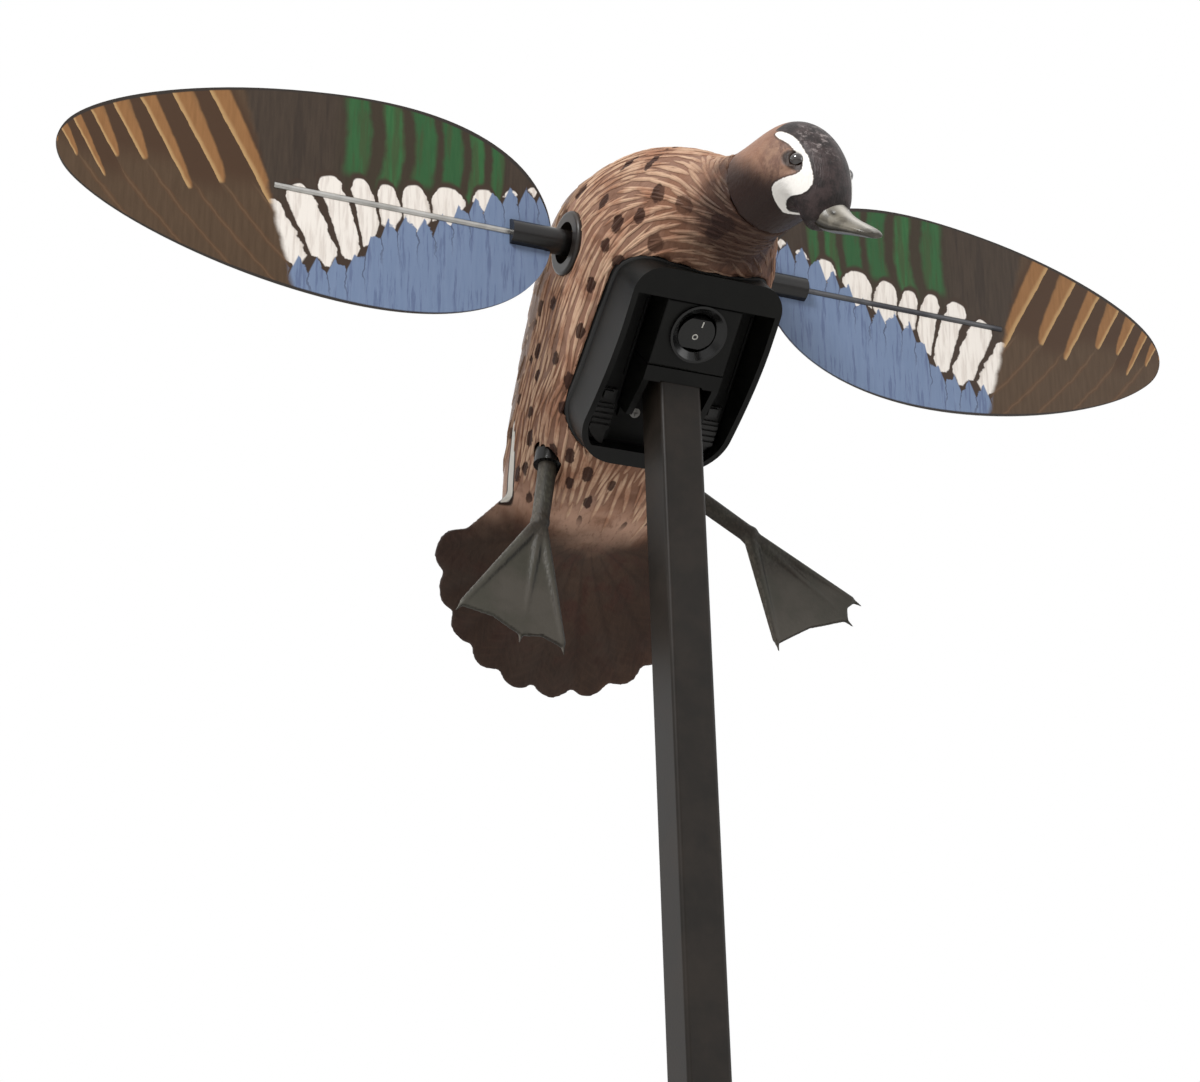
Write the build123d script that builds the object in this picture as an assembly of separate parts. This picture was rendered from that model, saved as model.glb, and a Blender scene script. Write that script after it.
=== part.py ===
from build123d import *
import os
from math import asin, cos, sin, tan, pi, degrees, radians, sqrt

os.makedirs("parts", exist_ok=True)

# Motorised spinning-wing duck decoy on a ground stake.
# Row frame: +Z up, duck heads towards -Y, its left side is +X.  The origin is
# on the stake's axis at the ground line.  Most of the duck is drawn level
# (head towards -Y, belly down, wing axis through the drawing's origin), then
# tipped nose-up about the wing axis and lifted onto the stake.

# ---- driving dimensions, millimetres and degrees ----
wing_axis_height = 760.0        # wing axis above the ground line
wing_axis_set_back = 6.0        # wing axis behind the stake's axis
body_pitch = 44.0               # body axis above level

fit_gap = 0.3                   # between pieces that slide or sit in each other
run_gap = 0.05                  # radial running clearance of a shaft

# body shell
flank_half_width = 51.0
back_height = 62.0              # wing axis to the top of the back
belly_depth = 54.0              # wing axis to the belly
body_wall = 2.5
hollow_end = 138.0              # the body's hollow stops here, short of the tail

# tail fan
tail_radius = 78.0
tail_center = 157.0             # behind the wing axis
tail_thickness = 4.5
tail_droop = 15.0               # degrees below the body axis
tail_root_drop = 10.0           # below the wing axis at the rump
tail_feathers = 11

# wings
wing_half_span = 305.0
wing_root = 59.7                # axis centre to the blade's inner end
wing_top_chord = 53.75
wing_bottom_chord = 52.35
blade_thickness = 1.2
wing_rest_tilt = 2.8            # blade plane from upright
spine_radius = 1.6
spine_end = 202.0
tube_radius = 6.5
tube_end = 82.0
wing_pull = 20.0                # travel that frees a wing

# drive line
shaft_radius = 2.5
shaft_end = 46.0
coupler_start = 34.0
coupler_end = 50.0
spigot_radius = 4.9
spigot_end = 60.0
spigot_flat = 4.2
magnet_radius = 3.5
magnet_thickness = 2.5
motor_radius = 13.0
motor_half_length = 15.0
motor_wall = 0.8
commutator_radius = 3.6
brush_half_width = 1.1

# hub cups in the flanks
cup_flange_radius = 16.2
cup_flange_thickness = 2.8
cup_seat = 50.0                 # flange's inner face from the middle plane
cup_barrel_radius = 12.0
cup_inner_end = 36.0
cup_recess_radius = 10.5
cup_recess_bottom = 43.0
cup_bush_radius = 9.0

# control box on the belly
box_half_width = 39.5
box_head = -16.0                # head-side wall, along the body from the wing axis
box_tail = 92.0
box_wall = 3.0
box_head_corner = 14.0
box_tail_corner = 24.0
box_rim_depth = 68.0            # rim below the wing axis at the head end
box_rim_rise = 18.0             # how much the rim climbs towards the tail
box_rim_flat_end = 15.0         # where the rim starts to climb
box_top = 29.0                  # top of the box wall, inside the body
floor_depth = 42.0              # floor's outer face below the wing axis
floor_thickness = 2.5
land_head_end = -1.5            # end of the broad land at the head side
land_tail_start = 83.0
seal_thickness = 0.8

# battery bays, doors and latches, one on each side
cell_radius = 7.25
cell_length = 50.5
cell_gap = 0.3
spring_reach = 2.8
bay_start = 10.0
bay_inner_x = 20.6
bay_wall = 1.4
collar_height = 3.2             # bay walls stand this far out of the floor
door_thickness = 2.0
door_end = 81.0
door_barrel_radius = 2.0
hinge_pin_radius = 1.0
hinge_station = 1.3
latch_travel = 4.0
latch_thickness = 2.0
latch_half_width = 5.0
latch_nose = 82.4

# switch console
console_half_width = 20.3
console_depth = 67.0
console_end = 33.0
console_wall = 2.5
switch_station = 13.5
bezel_radius = 14.5
bezel_height = 1.6
switch_body_radius = 11.5
switch_body_bottom = 54.5
rocker_radius = 9.3
rocker_tilt = 8.0
rocker_swing = 16.0

# stake socket
stake_side = 22.0
stake_wall = 1.6
socket_wall = 3.2
stake_top_below_axis = 30.0
socket_cap = 4.0
hood_depth = 66.5
hood_end = 62.0
hood_mouth = 41.0
hood_floor = 49.0
decoy_lift = 45.0

# stake
stake_joint_height = 310.0      # above the ground line
joiner_length = 110.0
joiner_travel = 50.0
spike_length = 160.0
spike_shank = 40.0
step_reach = 72.0
step_width = 30.0
step_thickness = 4.0
step_rise = 46.0

# legs
# Each leg: direction seen from the front, length to the ankle, then the
# direction and length of its three toes.
leg_right = (-101, 35.0, ((-131, 75), (-103, 71), (-84, 73)))
leg_left = (-33, 45.0, ((-30, 69), (-41, 71), (-82, 66)))
leg_root_radius = 4.9
leg_ankle_radius = 4.5
web_thickness = 2.6
toe_root_radius = 3.6
toe_tip_radius = 1.8
claw_length = 6.0
leg_station = 107.0
leg_half_spacing = 36.5
leg_depth = 23.5
grommet_radius = 7.4

# head
plug_length = 8.0               # of the head's plug in the neck
eye_radius = 3.3
eye_station = 11                # station of the body list that carries the eyes
eye_rise = 3.8                  # above the station's centre
eye_advance = 0.7
eye_seat = 1.2                  # an eye's flat back from its centre

# ---- frames ----
duck_pose = Pos(0, wing_axis_set_back, wing_axis_height) * Rot(-body_pitch, 0, 0)


def on_duck(shape):
    """Puts a shape drawn level into its place on the stake."""
    return duck_pose * shape


def on_axis(shape):
    """Puts a shape drawn about the wing axis, upright, into its place."""
    return Pos(0, wing_axis_set_back, wing_axis_height) * shape


def row_shape_drawn_level(shape):
    """Turns a shape in the row frame into the level drawing."""
    return duck_pose.inverse() * shape


def block(x0, x1, y0, y1, z0, z1):
    """Box given by its faces."""
    size = (x1 - x0, y1 - y0, z1 - z0)
    return Pos((x0 + x1) / 2, (y0 + y1) / 2, (z0 + z1) / 2) * Box(*size)


def rod_x(radius, x0, x1, y=0.0, z=0.0):
    """Round bar along X."""
    return Pos((x0 + x1) / 2, y, z) * Rot(0, 90, 0) * Cylinder(radius, abs(x1 - x0))


def ring_x(outer, inner, x0, x1):
    """Round ring along X."""
    return rod_x(outer, x0, x1) - rod_x(inner, min(x0, x1) - 1, max(x0, x1) + 1)


def cone_between(start, end, r_start, r_end):
    """Round taper from one point to another."""
    run = Vector(*end) - Vector(*start)
    place = Plane(origin=start, z_dir=run)
    sit = (Align.CENTER, Align.CENTER, Align.MIN)
    if r_start == r_end:
        return place * Cylinder(r_start, run.length, align=sit)
    return place * Cone(r_start, r_end, run.length, align=sit)


def side_profile(points, half_width):
    """Prism along X from an outline in the Y, Z plane."""
    return extrude(Plane.YZ * make_face(Polyline(*points, close=True)), half_width, both=True)


# ---- body, neck, head and bill, as stations from the rump to the bill ----
# Each station: centre x, y, z, tip of its normal below level, turn to the
# left, half width, height above, height below, squareness of its outline,
# and how much narrower it is at the top than in the middle.
body_stations = [
    (0, 170, -13.4, 0, 0, 0.58, 3.4, 3.4, 2.2, 0),
    (0, 150, -2, 0, 0, 0.82, 21, 17, 2.3, 0),
    (0, 120, 4, 0, 0, 0.88, 38, 37, 2.5, 0),
    (0, 85, 5, 0, 0, 0.92, 50, 49, 2.7, 0),
    (0, 45, 4, 0, 0, 0.97, back_height - 3, belly_depth, 2.8, 0),
    (0, 10, 2, 2, 0, 1.0, back_height, belly_depth, 2.8, 0),
    (0, -16, -4, 10, 0, 0.985, back_height - 12, belly_depth + 2, 2.6, 0),
    (0, -36, -22, 26, 0, 0.83, 38, 48, 2.3, 0),
    (0, -50, -50, 38, 2, 0.57, 25, 33, 2.1, 0),
    (3, -64, -80, 44, 6, 0.40, 21.5, 22, 2.05, 0),
    (8, -81, -98, 48, 14, 0.415, 23, 22, 2.05, 0.08),
    (11, -84, -115, 64, 15, 0.365, 20, 20.5, 2.05, 0.14),
    (13.9, -72.4, -130, 83, 15, 0.2, 9.0, 8.2, 2.1, 0.12),
]
bill_stations = [
    (13.9, -72.4, -130, 83, 15, 0.2 * flank_half_width, 9.0, 8.2, 2.1, 0.12),
    (16.2, -70.6, -139, 90, 14, 9.0, 5.6, 5.2, 2.3, 0.2),
    (18.4, -71.8, -149, 92, 12, 8.4, 3.6, 3.4, 2.4, 0.1),
    (20.2, -73.0, -157, 92, 12, 7.6, 2.5, 2.4, 2.4, 0),
    (21.4, -73.6, -162.5, 92, 12, 4.6, 1.5, 1.4, 2.1, 0),
]
neck_station = 9                # the head moulding joins the body here
section_points = 28


def station_plane(station):
    """Plane across the body at a station, facing the bill."""
    x, y, z, tip, turn = station[:5]
    tip = radians(tip)
    turn = radians(turn)
    ahead = Vector(sin(turn), -cos(tip) * cos(turn), -sin(tip) * cos(turn))
    side = Vector(1, 0, 0) - ahead * ahead.X
    return Plane(origin=(x, y, z), x_dir=side.normalized(), z_dir=ahead)


def station_face(station, inset=0.0, unit_width=1.0):
    """Rounded-square outline of a station, drawn in by a wall."""
    half = station[5] * unit_width - inset
    above = station[6] - inset
    below = station[7] - inset
    power = 2 / station[8]
    points = []
    for i in range(section_points):
        angle = 2 * pi * (i + 0.5) / section_points
        across = abs(cos(angle)) ** power * half * (1 - station[9] * sin(angle))
        height = abs(sin(angle)) ** power * (above if sin(angle) > 0 else below)
        points.append((across if cos(angle) > 0 else -across,
                       height if sin(angle) > 0 else -height))
    outline = Spline(*points, periodic=True)
    return station_plane(station) * make_face(outline)


def moved(station, along):
    """The same station, shifted along its own normal."""
    ahead = station_plane(station).z_dir * along
    return (station[0] + ahead.X, station[1] + ahead.Y, station[2] + ahead.Z) + station[3:]


def duck_solid(inset=0.0):
    """Body, neck and head as one smooth solid, drawn in by a wall."""
    stations = list(body_stations)
    if not inset:
        return loft([station_face(s, 0, flank_half_width) for s in stations])
    stations[-1] = moved(stations[-1], -3 * inset)
    hollow = loft([station_face(s, inset, flank_half_width) for s in stations])
    return hollow - block(-100, 100, hollow_end, 300, -100, 100)


def tail_fan():
    """Spread tail: a half disc with one round lobe for each feather."""
    lobe = pi * tail_radius / tail_feathers / 2 * 1.06
    ring = tail_radius - lobe
    plate = Circle(ring + 0.35 * lobe)
    plate -= Pos(0, -tail_radius) * Rectangle(3 * tail_radius, 2 * tail_radius)
    root_half = 0.9 * flank_half_width
    plate += make_face(Polyline((-ring, 0.5), (-root_half, -22), (root_half, -22), (ring, 0.5),
                                close=True))
    for i in range(tail_feathers):
        angle = radians(180 * (i + 0.5) / tail_feathers)
        plate += Pos(ring * cos(angle), ring * sin(angle)) * Circle(lobe)
    solid = extrude(plate, tail_thickness / 2, both=True)
    return Pos(0, tail_center, -tail_root_drop) * Rot(-tail_droop, 0, 0) * solid


def box_outline(grow=0.0):
    """Plan outline of the control box, grown by a margin."""
    width = 2 * (box_half_width + grow)
    length = box_tail - box_head + 2 * grow
    plan = Rectangle(width, length)
    head = plan.vertices().group_by(Axis.Y)[0]
    plan = fillet(head, box_head_corner + grow)
    tail = plan.vertices().group_by(Axis.Y)[-1]
    plan = fillet(tail, box_tail_corner + grow)
    return Pos(0, (box_head + box_tail) / 2) * plan


def box_prism(z0, z1, grow=0.0):
    """Prism of the box's plan outline."""
    return Pos(0, 0, z0) * extrude(box_outline(grow), z1 - z0)


def rim_height(y):
    """Height of the box rim at a station along the body."""
    if y <= box_rim_flat_end:
        return -box_rim_depth
    share = (y - box_rim_flat_end) / (box_tail - box_rim_flat_end)
    return -box_rim_depth + box_rim_rise * share ** 1.6


def leg_frame(side):
    """Root, direction and ankle of a leg, in the row frame, and its toes' tips."""
    root_level = Pos(side * leg_half_spacing, leg_station, -leg_depth)
    root = Vector(*(duck_pose * root_level).position)
    down, length, toes = leg_right if side < 0 else leg_left
    run = Vector(cos(radians(down)), -0.1, sin(radians(down))).normalized()
    ankle = root + run * length
    tips = [ankle + Vector(cos(radians(a)), -0.12, sin(radians(a))).normalized() * reach
            for a, reach in toes]
    return root, run, ankle, tips


def body_and_head():
    """Hollow body and head mouldings with their openings, and the bill seated on the head."""
    outer = duck_solid()
    inner = duck_solid(body_wall)
    neck = station_plane(body_stations[neck_station])
    beyond_neck = neck * Box(400, 400, 400, align=(Align.CENTER, Align.CENTER, Align.MIN))
    body_outer = outer - beyond_neck
    head_outer = outer & beyond_neck
    bill = loft([station_face(s) for s in bill_stations])

    body = body_outer + tail_fan()
    body -= inner
    opening_top = 1 - box_top
    belly_ring = box_prism(-100, opening_top, seal_thickness)
    belly_ring -= box_prism(-101, opening_top + 1)
    seal = (body & belly_ring)
    body -= box_prism(-100, opening_top, seal_thickness)
    for side in (-1, 1):
        body -= rod_x(cup_barrel_radius + 0.1, side * 30, side * 70)
        body -= rod_x(cup_flange_radius + 0.3, side * cup_seat, side * 70)

    spigot = station_face(body_stations[neck_station], body_wall + fit_gap, flank_half_width)
    middle = station_plane(body_stations[neck_station + 1]).origin
    down_neck = station_plane(body_stations[neck_station - 1]).origin - neck.origin
    far_end = Pos(*(down_neck.normalized() * plug_length)) * station_face(
        body_stations[neck_station], 2.4 * body_wall, flank_half_width)
    plug = loft([spigot, far_end])
    below = neck.origin + down_neck.normalized() * (plug_length + 4)
    ahead = (middle - neck.origin).normalized()
    hollow = cone_between(below, middle + ahead * 6, 13.0, 14.0)
    head = head_outer + plug - hollow
    return body, head, bill, seal, head_outer


def eye_pieces(skin):
    """Eyes just under the head's skin and their sockets, in the level drawing."""
    section = station_plane(body_stations[eye_station])
    center = section.origin + section.y_dir * eye_rise + section.z_dir * eye_advance
    eyes = []
    sockets = []
    for side in (-1, 1):
        out = section.x_dir * side
        line = Line(center, center + out * 60)
        reach = sum(edge.length for edge in (line & skin).edges())
        place = center + out * (reach - 0.55 * eye_radius)
        seat = Plane(origin=place, z_dir=out)
        for pieces, radius in ((eyes, eye_radius), (sockets, eye_radius + run_gap)):
            flat = degrees(asin(eye_seat / radius))
            pieces.append(seat * Sphere(radius, arc_size1=-flat, arc_size2=90, align=None))
    return eyes, sockets


def rim_cut():
    """Everything beyond the box rim, to be taken off the box walls."""
    steps = 6
    climb = [box_rim_flat_end + (box_tail + 4 - box_rim_flat_end) * i / steps
             for i in range(steps + 1)]
    far = -box_rim_depth - 40
    edges = Polyline((climb[-1], rim_height(climb[-1])), (climb[-1], far),
                     (box_head - 10, far), (box_head - 10, -box_rim_depth),
                     (climb[0], -box_rim_depth))
    edges += Spline(*[(y, rim_height(y)) for y in climb])
    return extrude(Plane.YZ * make_face(edges), 3 * box_half_width, both=True)


def stake_prism(grow, top):
    """Square prism along the stake, in the row frame, up to a height."""
    half = stake_side / 2 + grow
    return block(-half, half, -half, half, 0, top)


def bay_span():
    """Inner faces of a battery bay: x from and to, y from and to, top."""
    x1 = bay_inner_x + 2 * cell_radius + 1.2
    y1 = bay_start + cell_length + 4.0
    top = -(floor_depth + collar_height) + 4 * cell_radius + 3 * cell_gap
    return bay_inner_x, x1, bay_start, y1, top


def on_side(side, x0, x1, y0, y1, z0, z1):
    """Block given for the left side, placed on either side."""
    return block(min(side * x0, side * x1), max(side * x0, side * x1), y0, y1, z0, z1)


def control_box():
    """Tray on the belly: rim walls, lands, floor and two battery bays."""
    inner_half = box_half_width - box_wall
    floor_top = -floor_depth + floor_thickness
    box = box_prism(-100, -box_top) - rim_cut()
    inside = box_prism(-102, 0, -box_wall)
    box -= inside & block(-inner_half, inner_half, land_head_end, land_tail_start, -101,
                          -floor_depth)
    # hollow above the floor and behind the two lands
    box -= inside & block(-inner_half, inner_half, land_head_end, land_tail_start, floor_top,
                          0)
    box -= block(-inner_half + 11, inner_half - 11, box_head + box_wall,
                 land_head_end - box_wall, -box_rim_depth + box_wall, 0)
    box -= block(-inner_half + 20, inner_half - 20, land_tail_start + box_wall,
                 box_tail - box_wall, -floor_depth, 0)
    x0, x1, y0, y1, top = bay_span()
    collar = -floor_depth - collar_height
    for side in (-1, 1):
        box += on_side(side, x0 - bay_wall, x1 + bay_wall, y0 - bay_wall, y1 + bay_wall,
                       collar, top + bay_wall)
    for side in (-1, 1):
        box -= on_side(side, x0, x1, y0, y1, collar - 1, top)
        # hinge pin's hole and the latch's slot
        box -= rod_x(hinge_pin_radius, side * inner_half, side * (inner_half + 1.8),
                     hinge_station, door_axis_z())
        x_latch = latch_center_x()
        z_latch = latch_plate_z()
        box -= inside & on_side(side, x_latch - latch_half_width - fit_gap,
                                x_latch + latch_half_width + fit_gap, land_tail_start - 1,
                                latch_nose + latch_travel + fit_gap,
                                z_latch - latch_thickness - fit_gap, z_latch + fit_gap)
    clear = console_half_width + fit_gap
    box -= block(-clear, clear, y0 - bay_wall - 1, y1 + bay_wall + 1, collar - 1, -floor_depth)
    box -= row_shape_drawn_level(socket_outline(fit_gap))
    for x, y in socket_screw_places():
        box -= Pos(x, y, -floor_depth) * Cylinder(1.25, 12)
    return box


def door_axis_z():
    """Height of the battery doors' hinge axis."""
    return -floor_depth - collar_height - fit_gap - door_thickness / 2


def latch_center_x():
    x0, x1, y0, y1, top = bay_span()
    return (x0 + x1) / 2


def latch_plate_z():
    """Inner face of the latch plate, which slides on the door."""
    return door_axis_z() - door_thickness / 2 - fit_gap / 2


def battery_door(side):
    """Door over one battery bay, with its hinge barrel and latch slot."""
    x0 = console_half_width + 0.6
    x1 = box_half_width - box_wall - 0.6
    z_mid = door_axis_z()
    half = door_thickness / 2
    door = on_side(side, x0, x1, hinge_station, door_end, z_mid - half, z_mid + half)
    door += rod_x(door_barrel_radius, side * x0, side * x1, hinge_station, z_mid)
    door -= rod_x(hinge_pin_radius + run_gap, side * (x0 - 1), side * (x1 + 1),
                  hinge_station, z_mid)
    x = latch_center_x()
    door -= on_side(side, x - 2.6, x + 2.6, latch_neck_start() - fit_gap,
                    latch_neck_start() + 4 + latch_travel + fit_gap, z_mid - 5, z_mid + 5)
    # two stiffening ribs along the door's face
    for edge in (x0 + 0.6, x1 - 1.8):
        door += on_side(side, edge, edge + 1.2, 6, 46, z_mid - half - 1.0, z_mid - half)
    # the free end follows the box's rounded corner
    return door & box_prism(-101, 0, -box_wall - 0.6)


def latch_neck_start():
    return latch_nose - 13.5


def latch(side):
    """Sliding latch: plate, thumb pad, lug, neck through the door and keeper."""
    x = latch_center_x()
    half = latch_half_width
    top = latch_plate_z()
    low = top - latch_thickness
    neck = latch_neck_start()
    piece = on_side(side, x - half, x + half, 54, latch_nose, low, top)
    pad_end = latch_nose - 7.5
    for i in range(4):
        ridge = pad_end - 2.9 * (i + 1)
        piece += on_side(side, x - half, x + half, ridge, ridge + 1.7, low - 2.6, low)
    piece += on_side(side, x - half, x + half, pad_end - 13.5, pad_end, low - 1.4, low)
    piece += on_side(side, x - 2.5, x + 2.5, 54.5, 58.5, low - 2.4, low)
    keeper_top = door_axis_z() + door_thickness / 2 + fit_gap / 2
    piece += on_side(side, x - 2.2, x + 2.2, neck, neck + 4, top - 0.5, keeper_top + 0.5)
    piece += on_side(side, x - 4.5, x + 4.5, neck - 1.5, neck + 5.5, keeper_top,
                     keeper_top + 1.2)
    # the nose follows the box's rounded corner when the latch is home
    return piece & Pos(0, -latch_travel) * box_prism(-101, 0, -box_wall - fit_gap)


def hinge_pins():
    """Steel pins of the two battery doors, let into console and box wall."""
    x0 = console_half_width - 1.8
    x1 = box_half_width - box_wall + 1.8
    return [rod_x(hinge_pin_radius, s * x0, s * x1, hinge_station, door_axis_z())
            for s in (-1, 1)]


def socket_outline(grow):
    """Outside of the stake socket's square tube, in the row frame."""
    top = wing_axis_height - stake_top_below_axis + socket_cap
    return stake_prism(socket_wall + fit_gap + grow, top + grow)


def socket_screw_places():
    """Screws of the stake socket, on the box floor."""
    return [(-9.5, 7.0), (9.5, 7.0), (-9.5, 65.3), (9.5, 65.3)]


def stake_socket():
    """Square socket for the stake, flange, and hood open towards the tail."""
    tube = row_shape_drawn_level(socket_outline(0))
    reach = block(-60, 60, -80, 120, -hood_depth, 80)
    tube = tube & reach
    hood = side_profile([(console_end + fit_gap, -floor_depth),
                         (console_end + fit_gap, -hood_depth), (hood_mouth, -hood_depth),
                         (hood_end, rim_height(hood_end) + 0.5), (hood_end, -floor_depth)],
                        console_half_width)
    flange_half = console_half_width - console_wall - fit_gap
    flange = block(-flange_half, flange_half, 2.5, hood_end + 7, -floor_depth - 2.5,
                   -floor_depth)
    cavity = block(-console_half_width + 3.3, console_half_width - 3.3, hood_mouth, 200,
                   -120, -hood_floor)
    socket = (tube + hood + flange) - cavity
    bore = stake_prism(fit_gap, wing_axis_height - stake_top_below_axis)
    socket -= row_shape_drawn_level(bore)
    for x, y in socket_screw_places():
        socket -= Pos(x, y, -floor_depth) * Cylinder(1.6, 20)
        socket -= Pos(x, y, -floor_depth - 2.5 - 10) * Cylinder(3.0, 20)
    return socket


def socket_screws():
    """Pan-head screws that hold the stake socket to the box floor."""
    screws = []
    seat = -floor_depth - 2.5
    for x, y in socket_screw_places():
        shank = Pos(x, y, (seat - floor_depth + floor_thickness + 2) / 2)
        length = -floor_depth + floor_thickness + 2 - seat
        screw = shank * Cylinder(1.25, length)
        screw += Pos(x, y, seat - 0.9) * Cylinder(2.6, 1.8)
        screw -= Pos(x, y, seat - 1.6) * (Box(3.2, 0.6, 1.2) + Box(0.6, 3.2, 1.2))
        screws.append(screw)
    return screws


def switch_console():
    """Raised console that carries the switch, notched round the socket."""
    half = console_half_width
    head = land_head_end + fit_gap
    block_out = block(-half, half, head, console_end, -console_depth, -floor_depth)
    tops = block_out.edges().filter_by(Axis.Z, reverse=True).group_by(Axis.Z)[0]
    shell = fillet(tops, 1.5)
    shell -= block(-half + console_wall, half - console_wall, head + console_wall,
                   console_end - console_wall, -console_depth + console_wall, 0)
    shell -= row_shape_drawn_level(socket_outline(fit_gap))
    slot_half = half - console_wall
    shell -= block(-slot_half, slot_half, console_end - console_wall - 1, console_end + 1,
                   -floor_depth - 2.5 - fit_gap, 0)
    shell -= Pos(0, switch_station, -console_depth) * Cylinder(switch_body_radius + 0.15, 12)
    for side in (-1, 1):
        shell -= rod_x(hinge_pin_radius, side * (half - 1.8), side * (half + 1),
                       hinge_station, door_axis_z())
    return shell


def switch_body():
    """Round switch housing with a funnel bezel."""
    top = -console_depth - bezel_height
    bottom = -switch_body_bottom
    body = Pos(0, 0, -console_depth - bezel_height / 2) * Cylinder(bezel_radius, bezel_height)
    body += Pos(0, 0, (bottom - console_depth) / 2) * Cylinder(switch_body_radius,
                                                              console_depth + bottom)
    well = rocker_radius + 0.7
    body -= Pos(0, 0, (top - 1 + bottom - 1.5) / 2) * Cylinder(well, bottom - 1.5 - top + 1)
    # dished inside of the bezel
    body -= Pos(0, 0, top + 1.4) * Cone(well + 3.4, well, 3.0)
    body -= rod_x(1.15, -switch_body_radius + 0.3, switch_body_radius - 0.3, 0, rocker_axis_z())
    for y in (-6, -1):
        body -= Pos(0, y, bottom) * Box(4.8, 0.8, 8)
    return Pos(0, switch_station, 0) * body - row_shape_drawn_level(socket_outline(fit_gap))


def rocker_axis_z():
    return -console_depth + 6.2


def rocker():
    """Round rocker with a two-plane face and its pivot stubs."""
    axis = rocker_axis_z()
    face = -console_depth + 1.2
    depth = 3.2
    disc = Pos(0, 0, (face + axis + depth) / 2) * Cylinder(rocker_radius, axis + depth - face)
    disc &= Pos(0, 0, axis) * Rot(0, 90, 0) * Cylinder(rocker_radius, 40)
    slope = 1.5
    for side in (-1, 1):
        wedge = side_profile([(0, -axis * 0 + face - 2), (side * 12, face - 2),
                              (side * 12, face + slope - 1.6), (0, face)], 20)
        disc -= wedge
    disc += rod_x(1.1, -rocker_radius - 1.6, rocker_radius + 1.6, 0, axis)
    tilted = Pos(0, 0, axis) * Rot(rocker_tilt, 0, 0) * Pos(0, 0, -axis) * disc
    return Pos(0, switch_station, 0) * tilted


def switch_terminals():
    """Two tinned blades under the switch."""
    bottom = -switch_body_bottom
    return [Pos(0, switch_station + y, bottom + 2.3) * Box(4.8, 0.8, 7.4) for y in (-6, -1)]


def cell_places():
    """Each cell: x, z, and which end its nub is on."""
    x0, x1, y0, y1, top = bay_span()
    x = (x0 + x1) / 2
    for side in (-1, 1):
        for row, nub in ((0, 1), (1, -1)):
            yield side * x, top - cell_gap - cell_radius - row * (2 * cell_radius + cell_gap), nub


def battery_cells():
    """Four round cells, two stacked in each bay, end to end reversed."""
    x0, x1, y0, y1, top = bay_span()
    cells = []
    for x, z, nub in cell_places():
        flat_end = y0 + spring_reach if nub > 0 else y1 - spring_reach
        can_length = cell_length - 1.4
        can = Rot(-90, 0, 0) * Cylinder(cell_radius, can_length)
        can = fillet(can.edges(), 0.8)
        tip = Pos(0, nub * (can_length / 2 + 0.7), 0) * Rot(90, 0, 0) * Cylinder(2.7, 1.4)
        cells.append(Pos(x, flat_end + nub * can_length / 2, z) * (can + tip))
    return cells


def battery_contacts():
    """Bent strip contacts at both ends of every cell; the flat end's is longer."""
    x0, x1, y0, y1, top = bay_span()
    strips = []
    for x, z, nub in cell_places():
        for end, inward in ((y0, 1), (y1, -1)):
            reach = spring_reach if inward == nub else y1 - y0 - cell_length - spring_reach
            strip = side_profile([(end, z - 5), (end + inward * 0.4, z - 5),
                                  (end + inward * reach, z - 0.8),
                                  (end + inward * reach, z + 0.8),
                                  (end + inward * 0.4, z + 5), (end, z + 5),
                                  (end + inward * (reach - 0.6), z)], 3)
            strips.append(Pos(x, 0, 0) * strip)
    return strips


def motor_cradle():
    """Block on the stake socket's closed end, hollowed for the motor."""
    base = -stake_top_below_axis + socket_cap
    cradle = block(-6, 6, -motor_radius - 8, motor_radius + 8, -5, -1)
    cradle += block(-6, 6, -motor_radius - 4, motor_radius + 4, base, -1)
    cradle -= rod_x(motor_radius, -20, 20)
    for side in (-1, 1):
        cradle -= Pos(0, side * (motor_radius + 5.5), 0) * Cylinder(1.25, 30)
    return cradle


def motor_strap():
    """Strap over the motor, with an ear each side."""
    outer = motor_radius + 2.0
    strap = rod_x(outer, -6, 6) & block(-7, 7, -40, 40, -1, 40)
    for side in (-1, 1):
        strap += block(-6, 6, min(side * (motor_radius + 0.5), side * (motor_radius + 8)),
                       max(side * (motor_radius + 0.5), side * (motor_radius + 8)), -1, 1.6)
    strap -= rod_x(motor_radius, -20, 20)
    for side in (-1, 1):
        strap -= Pos(0, side * (motor_radius + 5.5), 0) * Cylinder(1.6, 30)
    return strap


def strap_screws():
    screws = []
    for side in (-1, 1):
        y = side * (motor_radius + 5.5)
        screw = Pos(0, y, -1.6) * Cylinder(1.25, 6.4)
        screw += Pos(0, y, 2.5) * Cylinder(2.4, 1.8)
        screw -= Pos(0, y, 3.2) * Box(3.2, 0.6, 1.2)
        screws.append(screw)
    return screws


def motor_parts():
    """Fixed parts of the double-ended direct-current motor."""
    half = motor_half_length
    inner = motor_radius - motor_wall
    cap_start = half - 2.0
    bush = shaft_radius + 2.0
    can = ring_x(motor_radius, inner, -half + 1.2, cap_start)
    can += ring_x(motor_radius, bush, -half, -half + 1.2)
    cap = ring_x(motor_radius, bush, cap_start, half)
    bushes = [ring_x(bush, shaft_radius + run_gap, -half, -half + 2.4),
              ring_x(bush, shaft_radius + run_gap, half - 2.2, half)]
    arc = ring_x(inner, inner - 2.2, -9, 9)
    slot = block(-20, 20, -4, 4, -20, 20)
    magnets = (arc - slot).solids()
    low = commutator_radius + run_gap
    high = sqrt(inner ** 2 - brush_half_width ** 2)
    brushes = [on_side(1, cap_start - 2.5, cap_start - 0.5, min(s * low, s * high),
                       max(s * low, s * high), -brush_half_width, brush_half_width)
               for s in (-1, 1)]
    return can, cap, bushes, magnets, brushes


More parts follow.
